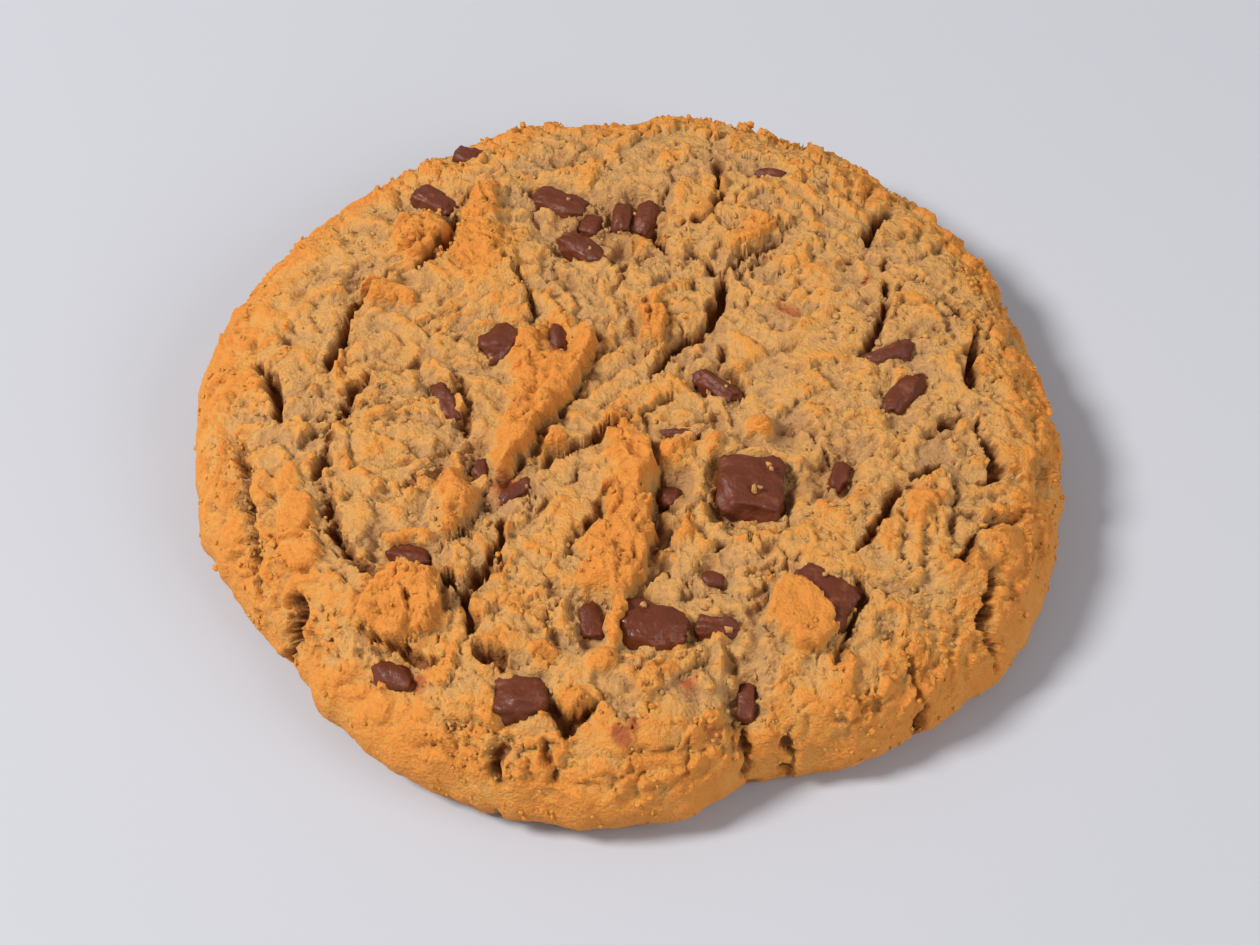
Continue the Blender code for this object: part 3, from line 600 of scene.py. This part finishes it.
def crackle_depth(points, places):
    """Depth of the thin cracks between small plates, which open in some places and not in others."""
    depth = np.zeros(len(points))
    for seed, (size, width, deep) in enumerate(CRACKLE, start=90):
        found = [noise.voronoi(Vector(place))[0] for place in (places / size).tolist()]
        past_middle = size * np.diff(np.array(found)[:, :2], axis=1)[:, 0]
        opened = smooth_step(CRACKLED_SHARE + CRACKLED_SHARPNESS * ripple(points, CRACKLED_PLACE, seed))
        depth = np.maximum(depth, deep * opened * np.exp(-((past_middle / width) ** 2)))
    return depth


def dough_surface(points):
    """The baked surface over the plain dome.

    Returns how far it stands out, how deep it is cracked with the painted shade of the hollows added, how
    browned it is with painted shade in the low places, how far chocolate stains it, and how rough it is."""
    middles, _ = packed_crumbs(points, TORN_CRUMB)
    small_middles, _ = packed_crumbs(points, SMALL_CRUMB)
    torn = points + TORN_SHARE * (middles - points) + SMALL_SHARE * (small_middles - points)
    x, y = torn[:, :2].T.copy()
    for seed, (size, reach) in enumerate(CRACK_WANDER, start=11):
        x += reach * ripple(points, size, seed)
        y += reach * ripple(points, size, seed + 20)
    top = smooth_step((points[:, 2] - TOP_STARTS) / TOP_BLEND)
    patches = smooth_step(0.5 + ROUGH_SHARPNESS * ripple(points, ROUGH_PATCH, seed=50))
    rough = SMOOTHEST + (1.0 - SMOOTHEST) * patches
    rough *= SIDE_ROUGHNESS + (1.0 - SIDE_ROUGHNESS) * top
    size, height = TORN_LUMP
    relief = height * rough * ripple(points, size, seed=6)
    for seed, (size, height) in enumerate(LUMPS, start=3):
        relief += height * ripple(points, size, seed)
    hollows = hollow_depth(x, y)
    raised, gap = flake_relief(x, y)
    raised += crumb_relief(points[:, 0], points[:, 1])
    layers = top * torn_layers(torn)
    relief += layers - hollows + raised
    ragged = ripple(torn, COLLAR_LUMP, seed=70)
    relief, near_chunks = settle_round_chunks(points[:, 0], points[:, 1], relief, ragged)
    rough = np.maximum(rough, near_chunks)
    size, reach = CRACK_NARROWS
    narrows = np.clip(CRACK_MEAN_WIDTH + reach * ripple(points, size, seed=17), *CRACK_WIDTHS)
    beside, depth = crack_relief(x, y, CRACKS, narrows)
    fine_beside, fine_depth = crack_relief(x, y, FINE_CRACKS, narrows)
    depth = np.max((depth, fine_depth, gap), axis=0)
    depth = np.maximum(depth, top * crackle_depth(points, np.column_stack((x, y, points[:, 2]))))
    relief = lap_relief(x, y, relief + beside + fine_beside - depth)
    browning_and_shade_height = np.clip(relief, *BROWNING_AND_SHADE_HEIGHTS)
    uneven = scattered_value(middles)
    relief += CRUMB_UNEVEN * rough * uneven
    lapped = np.max([lap_share(x, y, lap) for lap in LAPS], axis=0)
    relief = sink_under_chunks(points[:, 0], points[:, 1], relief, lapped)
    browned = np.maximum(np.clip(raised, 0.0, FLAKE_TONE_HEIGHT), LAP_BROWNED * lapped)
    browned *= BROWNED_MEAN + BROWNED_SPREAD * ripple(points, BROWNED_PATCH, seed=80)
    # Tone follows the height and the torn layers: partly browning, partly painted shade in the low places.
    tone = HEIGHT_TONE * browning_and_shade_height + LAYER_TONE * layers + FLAKE_TONE * browned
    tone += CRUMB_TONE * uneven + SMALL_CRUMB_TONE * scattered_value(small_middles)
    stain = oval_share(x, y, SMEARS)
    # The hollows add painted shade to the crack depth that the colour reads.
    return relief, depth + HOLLOW_PAINTED_SHADE * hollows, tone, stain, rough


def grain_relief(points, rough):
    """How far the grains of baked crumb stand out, higher where the skin is torn."""
    relief = np.zeros(len(points))
    for size, height in GRAINS:
        _, near = packed_crumbs(points, size)
        relief += height * (GRAIN_REACH - (near / (GRAIN_REACH * size)) ** 2)
    for seed, (size, height) in enumerate(FINE_LUMPS, start=40):
        relief += height * ripple(points, size, seed)
    return relief * (SMOOTH_SKIN + (1.0 - SMOOTH_SKIN) * rough)


def disc_from_square(a, b):
    """A square's places carried to a disc, each square ring to a round one: share of the radius, angle."""
    wide = np.abs(a) > np.abs(b)
    safe_a = np.where(wide, a, 1.0)
    safe_b = np.where(wide, 1.0, np.where(b == 0.0, 1.0, b))
    radius = np.where(wide, a, b)
    angle = np.where(wide, math.pi / 4 * b / safe_a, math.pi / 2 - math.pi / 4 * a / safe_b)
    return np.abs(radius), np.where(radius < 0.0, angle + math.pi, angle)


def add_piece(name, mesh, finish):
    """Adds a piece of the cookie to the scene."""
    made = bpy.data.objects.new(name, mesh)
    bpy.context.scene.collection.objects.link(made)
    mesh.materials.append(finish)
    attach(made, "root")
    return made


def add_values(mesh, name, values):
    """Keeps one number for each vertex, for the material to read."""
    kept = mesh.attributes.new(name, "FLOAT", "POINT")
    kept.data.foreach_set("value", values.astype(np.float32))


shape = bmesh.new()
bmesh.ops.create_grid(shape, x_segments=GRID_CELLS, y_segments=GRID_CELLS, size=1.0)
square = np.array([vertex.co[:2] for vertex in shape.verts])
way_share, angle = disc_from_square(square[:, 0], square[:, 1])
way, shares, heights = dome_profile()
out_step = np.gradient(shares * RIM_RADIUS)
up_step = np.gradient(heights)
step_length = np.hypot(out_step, up_step)
outward = np.interp(way_share, way, -up_step / step_length)
upward = np.interp(way_share, way, out_step / step_length)
radius_share = np.interp(way_share, way, shares)
height = np.interp(way_share, way, heights)
direction = np.column_stack((np.cos(angle), np.sin(angle)))
plain = np.column_stack((direction * (radius_share * rim_radius(angle))[:, None], height))
normal = np.column_stack((direction * outward[:, None], upward))
free = smooth_step(height / WIDEST_HEIGHT)
relief, crack_depth_and_shade, tone, stain, rough = dough_surface(plain)
mounded = plain + normal * (free * relief)[:, None]
for vertex, place in zip(shape.verts, mounded * MM, strict=True):
    vertex.co = place
edge = [found for found in shape.edges if found.is_boundary]
bmesh.ops.holes_fill(shape, edges=edge, sides=0)
bmesh.ops.recalc_face_normals(shape, faces=shape.faces)
shape.normal_update()
walls = [vertex for vertex in shape.verts if vertex.normal.z < WALL_FACES_UP and not vertex.is_boundary]
for _ in range(WALL_ROUNDS):
    bmesh.ops.smooth_vert(shape, verts=walls, factor=0.5, use_axis_x=True, use_axis_y=True, use_axis_z=True)
shape.normal_update()
mounded = np.array([vertex.co for vertex in shape.verts]) / MM
facing = np.array([vertex.normal for vertex in shape.verts])
grain_roughness = np.maximum(rough, np.clip(ROUGHER_IN_CRACKS * crack_depth_and_shade, 0.0, DEEPEST_CRACK))
grains = grain_relief(mounded, grain_roughness)
places = (mounded + facing * (free * grains)[:, None]) * MM
for vertex, place in zip(shape.verts, places, strict=True):
    vertex.co = place
for rim_edge in edge:
    for vertex in rim_edge.verts:
        vertex.co.z = 0.0
dough_mesh = bpy.data.meshes.new("cookie_dough")
shape.to_mesh(dough_mesh)
shape.free()
rim_browning = sum(most * smooth_step((way_share - start) / over) for start, over, most in RIM_BROWNING)
# Grain tops lighter and the gaps between them darker, partly painted shade, and the rim browned.
tone = np.clip(PLAIN_TONE + tone + GRAIN_TONE * grains + rim_browning, 0.0, 1.0)
# Painted shade: cracks, crackle, hollows and the gaps under flake edges darken the colour by their depth.
add_values(dough_mesh, "crack", np.clip(crack_depth_and_shade / DEEPEST_CRACK, 0.0, 1.0))
add_values(dough_mesh, "tone", tone)
add_values(dough_mesh, "stain", stain)
thinning_source = bpy.data.objects.new("dough_source", dough_mesh)
bpy.context.scene.collection.objects.link(thinning_source)
thinning = thinning_source.modifiers.new("thinning", "DECIMATE")
thinning.ratio = DOUGH_TRIANGLES / (2 * GRID_CELLS**2)
graph = bpy.context.evaluated_depsgraph_get()
dough_mesh = bpy.data.meshes.new_from_object(thinning_source.evaluated_get(graph))
bpy.data.objects.remove(thinning_source)
dough_mesh.shade_smooth()

# Colours of the crumb, from the pale inside to the browned crust, the painted shade of the cracks and
# hollows, and the brown of the smears.
# The low stops are darker and greyer: the paler crumb, with painted shade for the low places.
CRUMB_TONES = (
    (0.0, (0.42, 0.222, 0.085, 1)),
    (0.30, (0.545, 0.280, 0.081, 1)),
    (0.52, (0.61, 0.262, 0.049, 1)),
    (0.76, (0.61, 0.186, 0.018, 1)),
    (1.0, (0.43, 0.086, 0.008, 1)),
)
PAINTED_CRACK_SHADE = (0.22, 0.072, 0.014, 1)
SMEAR_BROWN = (0.36, 0.095, 0.024, 1)

# How far patches, speckle and grain shift the tone, and what is taken off to keep its middle.
PATCH_TONE = 0.30
SPECKLE_TONE = 0.20
FINE_GRAIN_TONE = 0.16
TONE_TAKEN_OFF = 0.36

# Light sinks a little way into the crumb, red the farthest.
CRUMB_GLOW = (1.0, 0.45, 0.2)
GLOW_SHARE = 0.4
GLOW_REACH = 1.2 * MM
CRUMB_SHINE = 0.3


def noise_group():
    """Noise measured in millimetres, spread from 0 at its low value to 1 at its high value."""
    group = bpy.data.node_groups.new("millimetre noise", "ShaderNodeTree")
    for name, value in (("Size", 1.0), ("Detail", 3.0), ("Low", 0.3), ("High", 0.7)):
        socket = group.interface.new_socket(name=name, in_out="INPUT", socket_type="NodeSocketFloat")
        socket.default_value = value
    group.interface.new_socket(name="Value", in_out="OUTPUT", socket_type="NodeSocketFloat")
    given = group.nodes.new("NodeGroupInput")
    result = group.nodes.new("NodeGroupOutput")
    coords = group.nodes.new("ShaderNodeTexCoord")
    scale = group.nodes.new("ShaderNodeMath")
    scale.operation = "DIVIDE"
    scale.inputs[0].default_value = 1.0 / MM
    texture = group.nodes.new("ShaderNodeTexNoise")
    spread = group.nodes.new("ShaderNodeMapRange")
    for step, node in enumerate((given, coords, scale, texture, spread, result)):
        node.location = (200 * step, 0)
    group.links.new(given.outputs["Size"], scale.inputs[1])
    group.links.new(coords.outputs["Object"], texture.inputs["Vector"])
    group.links.new(scale.outputs[0], texture.inputs["Scale"])
    group.links.new(given.outputs["Detail"], texture.inputs["Detail"])
    group.links.new(texture.outputs["Fac"], spread.inputs["Value"])
    group.links.new(given.outputs["Low"], spread.inputs["From Min"])
    group.links.new(given.outputs["High"], spread.inputs["From Max"])
    group.links.new(spread.outputs["Result"], result.inputs["Value"])
    return group


NOISE = noise_group()


def noise_value(tree, size, detail, low, high, place):
    """Noise with lumps about size millimetres across."""
    node = tree.nodes.new("ShaderNodeGroup")
    node.node_tree = NOISE
    node.location = place
    for name, value in (("Size", size), ("Detail", detail), ("Low", low), ("High", high)):
        node.inputs[name].default_value = value
    return node.outputs["Value"]


def link_mix(tree, factor, low, high, place):
    """Mixes two colours by a factor; each colour is a socket or a plain colour."""
    mix = tree.nodes.new("ShaderNodeMix")
    mix.data_type = "RGBA"
    mix.location = place
    tree.links.new(factor, mix.inputs["Factor"])
    for name, colour in (("A", low), ("B", high)):
        socket = next(i for i in mix.inputs if i.name == name and i.type == "RGBA")
        if isinstance(colour, tuple):
            socket.default_value = colour
        else:
            tree.links.new(colour, socket)
    return next(o for o in mix.outputs if o.type == "RGBA")


def attribute_value(tree, name, place):
    """The number that each vertex keeps under a name."""
    read = tree.nodes.new("ShaderNodeAttribute")
    read.attribute_name = name
    read.location = place
    return read.outputs["Fac"]


def math_value(tree, operation, first, second, place, third=None):
    """One operation on two or three values, each a socket or a plain number, kept between 0 and 1."""
    node = tree.nodes.new("ShaderNodeMath")
    node.operation = operation
    node.use_clamp = True
    node.location = place
    for socket, value in zip(node.inputs, (first, second, third), strict=False):
        if isinstance(value, (int, float)):
            socket.default_value = value
        elif value is not None:
            tree.links.new(value, socket)
    return node.outputs[0]


def spread_value(tree, value, low, high, place):
    """A value from 0 to 1 spread from low to high."""
    node = tree.nodes.new("ShaderNodeMapRange")
    node.inputs["To Min"].default_value = low
    node.inputs["To Max"].default_value = high
    node.location = place
    tree.links.new(value, node.inputs["Value"])
    return node.outputs["Result"]


def bump(tree, height_value, strength, distance, place, under=None):
    """Fine relief from a value, laid over coarser relief where that is given."""
    node = tree.nodes.new("ShaderNodeBump")
    node.inputs["Strength"].default_value = strength
    node.inputs["Distance"].default_value = distance
    node.location = place
    tree.links.new(height_value, node.inputs["Height"])
    if under is not None:
        tree.links.new(under, node.inputs["Normal"])
    return node.outputs["Normal"]


def new_finish(name):
    """A new material, its node tree and its shader."""
    finish = bpy.data.materials.new(name)
    finish.use_nodes = True
    return finish, finish.node_tree, finish.node_tree.nodes["Principled BSDF"]


def colour_ramp(tree, factor, stops, place):
    """A factor turned into a colour by a row of stops."""
    ramp = tree.nodes.new("ShaderNodeValToRGB")
    ramp.location = place
    elements = ramp.color_ramp.elements
    while len(elements) < len(stops):
        elements.new(0.5)
    for element, (position, colour) in zip(elements, stops, strict=True):
        element.position = position
        element.color = colour
    tree.links.new(factor, ramp.inputs["Fac"])
    return ramp.outputs["Color"]


def dough_finish(name):
    """Dry baked crumb, browned by its tone, darkened with painted shade in its cracks and hollows, and
    stained where chocolate melted.
    """
    finish, tree, shader = new_finish(name)
    patches = noise_value(tree, size=6.0, detail=3.0, low=0.32, high=0.68, place=(-1400, 500))
    speckle = noise_value(tree, size=1.0, detail=5.0, low=0.32, high=0.68, place=(-1400, 250))
    grain = noise_value(tree, size=0.34, detail=3.0, low=0.30, high=0.70, place=(-1400, 0))
    tone_here = attribute_value(tree, "tone", (-1400, -250))
    crack_shade_here = attribute_value(tree, "crack", (-1400, -500))
    stain_here = attribute_value(tree, "stain", (-1400, -750))
    tone = math_value(tree, "MULTIPLY_ADD", patches, PATCH_TONE, (-1100, 400), tone_here)
    tone = math_value(tree, "MULTIPLY_ADD", speckle, SPECKLE_TONE, (-950, 300), tone)
    tone = math_value(tree, "MULTIPLY_ADD", grain, FINE_GRAIN_TONE, (-800, 200), tone)
    tone = math_value(tree, "SUBTRACT", tone, TONE_TAKEN_OFF, (-650, 200))
    colour = colour_ramp(tree, tone, CRUMB_TONES, (-600, 400))
    # Painted shade: the colour darkens in the cracks, hollows and gaps under flake edges.
    colour = link_mix(tree, crack_shade_here, colour, PAINTED_CRACK_SHADE, (-300, 300))
    colour = link_mix(tree, stain_here, colour, SMEAR_BROWN, (-150, 300))
    tree.links.new(colour, shader.inputs["Base Color"])
    coarse = bump(tree, speckle, strength=0.5, distance=0.30 * MM, place=(-500, -400))
    fine = bump(tree, grain, strength=0.6, distance=0.22 * MM, place=(-300, -400), under=coarse)
    tree.links.new(fine, shader.inputs["Normal"])
    dryness = spread_value(tree, grain, low=0.95, high=0.6, place=(-300, 0))
    tree.links.new(dryness, shader.inputs["Roughness"])
    shader.inputs["Specular IOR Level"].default_value = CRUMB_SHINE
    shader.inputs["Subsurface Weight"].default_value = GLOW_SHARE
    shader.inputs["Subsurface Radius"].default_value = CRUMB_GLOW
    shader.inputs["Subsurface Scale"].default_value = GLOW_REACH
    return finish


DOUGH = dough_finish("baked crumb")
dough = add_piece("cookie_dough", dough_mesh, DOUGH)
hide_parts("dough")

# Chunks of chocolate.
# Pieces broken off a bar and melted a little in the oven, sunk into the dough with a worn top showing.
# Each one replaces the solid of the same place.
CHUNK_CUTS = 13
FACETS = 5
FACET_SHARE = (0.68, 0.92)
FACET_FLATNESS = 0.85
CHUNK_LUMPS = ((0.8, 0.12), (0.4, 0.13), (0.18, 0.06))
CHOCOLATE_BROWN = (0.118, 0.025, 0.008, 1)
CHOCOLATE_SCUFF = (0.22, 0.060, 0.022, 1)
CHOCOLATE_SHINE = 0.35


def surface_height(x, y):
    """Height of the dough's plain dome over a plan place."""
    direction_here = math.atan2(y, x)
    share = math.hypot(x, y) / rim_radius(np.array([direction_here]))[0]
    over = THICKNESS - WIDEST_HEIGHT
    return WIDEST_HEIGHT + over * math.sqrt(max(0.0, 1.0 - share**SHOULDER_POWER))


def chunk_placing(place, size, heading, tilts, bed, stands, squareness):
    """Where a chunk lies: its top stands out of the dough round it by the given height."""
    turn = Euler((math.radians(tilts[0]), math.radians(tilts[1]), math.radians(heading)))
    middle = surface_height(*place) + bed + stands - 0.5 * size[2]
    at = Vector((place[0], place[1], middle)) * MM
    return Matrix.Translation(at) @ turn.to_matrix().to_4x4()


def broken_form(corners, size, squareness, seed):
    """A cube's places carried to a rounded block with a few broken facets and a worn, uneven skin."""
    rounding = (np.abs(corners) ** squareness).sum(axis=1) ** (-1.0 / squareness)
    form = corners * rounding[:, None]
    chance = np.random.default_rng(seed)
    for _ in range(FACETS):
        facing = chance.normal(size=3)
        facing /= np.linalg.norm(facing)
        out = form @ facing
        past = np.clip(out - chance.uniform(*FACET_SHARE) * out.max(), 0.0, None)
        form = form - FACET_FLATNESS * past[:, None] * facing
    for number, (lump, reach) in enumerate(CHUNK_LUMPS):
        uneven = ripple(form, lump, seed % 50 + 3 * number)
        form = form * (1.0 + reach * uneven)[:, None]
    return form * 0.5 * np.array(size)


def add_block(shape, row, seed, cuts):
    """Adds one broken block to a bmesh, in its place."""
    block = bmesh.new()
    bmesh.ops.create_cube(block, size=2.0)
    bmesh.ops.subdivide_edges(block, edges=block.edges[:], cuts=cuts, use_grid_fill=True)
    corners = np.array([vertex.co for vertex in block.verts])
    for vertex, place in zip(block.verts, broken_form(corners, row[1], row[-1], seed), strict=True):
        vertex.co = place * MM
    bmesh.ops.transform(block, matrix=chunk_placing(*row), verts=block.verts)
    made = bpy.data.meshes.new("block")
    block.to_mesh(made)
    block.free()
    shape.from_mesh(made)
    bpy.data.meshes.remove(made)


def chocolate_finish(name, smoothest, roughest):
    """Chocolate with paler scuffs and a fine grain."""
    finish, tree, shader = new_finish(name)
    scuffs = noise_value(tree, size=1.8, detail=5.0, low=0.56, high=0.74, place=(-900, 300))
    grain = noise_value(tree, size=0.5, detail=3.0, low=0.3, high=0.7, place=(-900, 0))
    colour = link_mix(tree, scuffs, CHOCOLATE_BROWN, CHOCOLATE_SCUFF, (-400, 300))
    tree.links.new(colour, shader.inputs["Base Color"])
    gloss = spread_value(tree, grain, smoothest, roughest, (-400, 0))
    tree.links.new(gloss, shader.inputs["Roughness"])
    pitted = bump(tree, grain, strength=0.5, distance=0.15 * MM, place=(-400, -300))
    tree.links.new(pitted, shader.inputs["Normal"])
    shader.inputs["Specular IOR Level"].default_value = CHOCOLATE_SHINE
    return finish


CHOCOLATE = chocolate_finish("milk chocolate", smoothest=0.36, roughest=0.62)
GLOSSY_CHOCOLATE = chocolate_finish("melted chocolate", smoothest=0.16, roughest=0.42)
GLOSSY_CHUNK = "chunk_melted_front"
for number, (node_name, row) in enumerate(CHUNKS.items()):
    shape = bmesh.new()
    add_block(shape, row, number, CHUNK_CUTS)
    chunk_mesh = bpy.data.meshes.new(node_name + "_melted")
    shape.to_mesh(chunk_mesh)
    shape.free()
    chunk_mesh.shade_smooth()
    finish = GLOSSY_CHOCOLATE if node_name == GLOSSY_CHUNK else CHOCOLATE
    chunk = add_piece(node_name + "_melted", chunk_mesh, finish)
    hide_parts(node_name)

# Small chips of chocolate.
# Splinters of the same chocolate, baked fast into the dough.
CHIP_CUTS = 7
FIRST_CHIP_SEED = 20

shape = bmesh.new()
for seed, row in enumerate(CHIPS, start=FIRST_CHIP_SEED):
    add_block(shape, row, seed, CHIP_CUTS)
chips_mesh = bpy.data.meshes.new("small_chips")
shape.to_mesh(chips_mesh)
shape.free()
chips_mesh.shade_smooth()
add_piece("small_chips", chips_mesh, CHOCOLATE)

# Loose crumbs.
# Small hard crumbs of the same dough, baked on where the skin is torn, each an uneven little lump. A few
# more are stuck to the chocolate.
CRUMB_COUNT = 2200
CRUMB_RADIUS = 0.19
CRUMB_SPREAD = 0.38
CRUMB_LARGEST = 0.5
CRUMB_SEED = 7

# Where crumbs lie: inside the rim, on torn skin and beside shallow cracks, and clear of the chocolate.
CRUMBS_INSIDE = 0.93
CRUMBS_AT_CRACKS = 0.8
SHALLOW_CRACK = 0.6
TOO_DEEP = 1.4
CLEAR_OF_CHOCOLATE = 0.1
MIDDLE_AREA = 0.02

# How far a crumb stands off the dough in its own radii, and how its colour and form vary.
CRUMB_STANDS_OFF = 0.3
CRUMB_TONE_SPREAD = 0.16
CRUMB_DENTS = 0.28
CRUMB_STRETCH = (0.7, 1.3)

# Crumbs on the chocolate: plan place and radius.
STUCK_CRUMBS = (
    (13.3, -15.0, 0.42),
    (13.9, -14.8, 0.30),
    (14.9, -11.6, 0.32),
    (15.2, -12.2, 0.25),
    (10.2, -32.0, 0.38),
    (1.4, -29.8, 0.50),
    (-20.0, 0.8, 0.35),
    (10.6, 0.4, 0.28),
    (31.6, 2.4, 0.28),
    (-7.2, 29.2, 0.32),
    (-4.6, 21.4, 0.32),
    (20.4, -25.6, 0.26),
)
STUCK_TONE = 0.2

chance = np.random.default_rng(CRUMB_SEED)
torn_here = np.clip(rough, 0.0, 1.0) ** 2 + CRUMBS_AT_CRACKS * np.clip(crack_depth_and_shade, 0.0, SHALLOW_CRACK)
torn_here *= (way_share < CRUMBS_INSIDE) & (crack_depth_and_shade < TOO_DEEP)
for row in CHOCOLATE_ROWS:
    torn_here *= footprint_distance(plain[:, 0], plain[:, 1], row) > CLEAR_OF_CHOCOLATE
area_share = way_share + MIDDLE_AREA
weight = torn_here * area_share
picked = chance.choice(len(places), CRUMB_COUNT, replace=False, p=weight / weight.sum())
radius = np.minimum(CRUMB_RADIUS * np.exp(CRUMB_SPREAD * chance.normal(size=CRUMB_COUNT)), CRUMB_LARGEST)
middles = places[picked] / MM + normal[picked] * (CRUMB_STANDS_OFF * radius)[:, None]
crumb_tone = np.clip(tone[picked] + CRUMB_TONE_SPREAD * chance.normal(size=CRUMB_COUNT), 0.0, 1.0)
for x, y, stuck_radius in STUCK_CRUMBS:
    under = min(CHOCOLATE_ROWS, key=lambda row: math.hypot(x - row[0][0], y - row[0][1]))
    stuck_height = surface_height(x, y) + under[4] + under[5]
    middles = np.vstack((middles, (x, y, stuck_height)))
    radius = np.append(radius, stuck_radius)
    crumb_tone = np.append(crumb_tone, STUCK_TONE)
shape = bmesh.new()
bmesh.ops.create_icosphere(shape, subdivisions=1, radius=1.0)
ball = np.array([vertex.co for vertex in shape.verts])
ball_faces = np.array([[vertex.index for vertex in face.verts] for face in shape.faces])
shape.free()
count = len(radius)
uneven = 1.0 + CRUMB_DENTS * chance.uniform(-1.0, 1.0, (count, len(ball), 1))
stretch = chance.uniform(*CRUMB_STRETCH, (count, 1, 3))
corners = middles[:, None, :] + ball[None] * uneven * stretch * radius[:, None, None]
faces = (ball_faces[None] + len(ball) * np.arange(count)[:, None, None]).reshape(-1, 3)
crumb_mesh = bpy.data.meshes.new("loose_crumbs")
crumb_mesh.from_pydata((corners.reshape(-1, 3) * MM).tolist(), [], faces.tolist())
add_values(crumb_mesh, "tone", np.repeat(crumb_tone, len(ball)))
add_values(crumb_mesh, "crack", np.zeros(count * len(ball)))
add_values(crumb_mesh, "stain", np.zeros(count * len(ball)))
add_piece("loose_crumbs", crumb_mesh, DOUGH)

# Surface that it lies on.
# A pale grey plaster-like table top, smooth and matte.
FLOOR_SIZE = 4.0
FLOOR_GREY = (0.46, 0.462, 0.487, 1)
FLOOR_ROUGHNESS = 0.8

shape = bmesh.new()
bmesh.ops.create_grid(shape, x_segments=1, y_segments=1, size=FLOOR_SIZE / 2)
floor_mesh = bpy.data.meshes.new("floor")
shape.to_mesh(floor_mesh)
shape.free()
floor_finish, _, shader = new_finish("pale plaster")
shader.inputs["Base Color"].default_value = FLOOR_GREY
shader.inputs["Roughness"].default_value = FLOOR_ROUGHNESS
floor = bpy.data.objects.new("floor", floor_mesh)
floor_mesh.materials.append(floor_finish)
bpy.context.scene.collection.objects.link(floor)

# Light.
# A soft lamp high on the left, a weaker one in front on the right, and even light from a pale room.
KEY_PLACE = (-0.74, -0.14, 0.88)
KEY_SIZE = 0.34
KEY_POWER = 15.5
FILL_PLACE = (0.78, -0.48, 0.58)
FILL_SIZE = 0.8
FILL_POWER = 5.0
ROOM_LIGHT = (0.90, 0.92, 1.0, 1)
ROOM_STRENGTH = 0.36


def add_lamp(name, place, size, power):
    """A round soft lamp that faces the cookie."""
    data = bpy.data.lights.new(name, "AREA")
    data.shape = "DISK"
    data.size = size
    data.energy = power
    lamp = bpy.data.objects.new(name, data)
    bpy.context.scene.collection.objects.link(lamp)
    lamp.location = place
    lamp.rotation_euler = (-Vector(place)).to_track_quat("-Z", "Y").to_euler()


add_lamp("key", KEY_PLACE, KEY_SIZE, KEY_POWER)
add_lamp("fill", FILL_PLACE, FILL_SIZE, FILL_POWER)
world = bpy.data.worlds.new("room")
world.use_nodes = True
world.node_tree.nodes["Background"].inputs["Color"].default_value = ROOM_LIGHT
world.node_tree.nodes["Background"].inputs["Strength"].default_value = ROOM_STRENGTH
bpy.context.scene.world = world
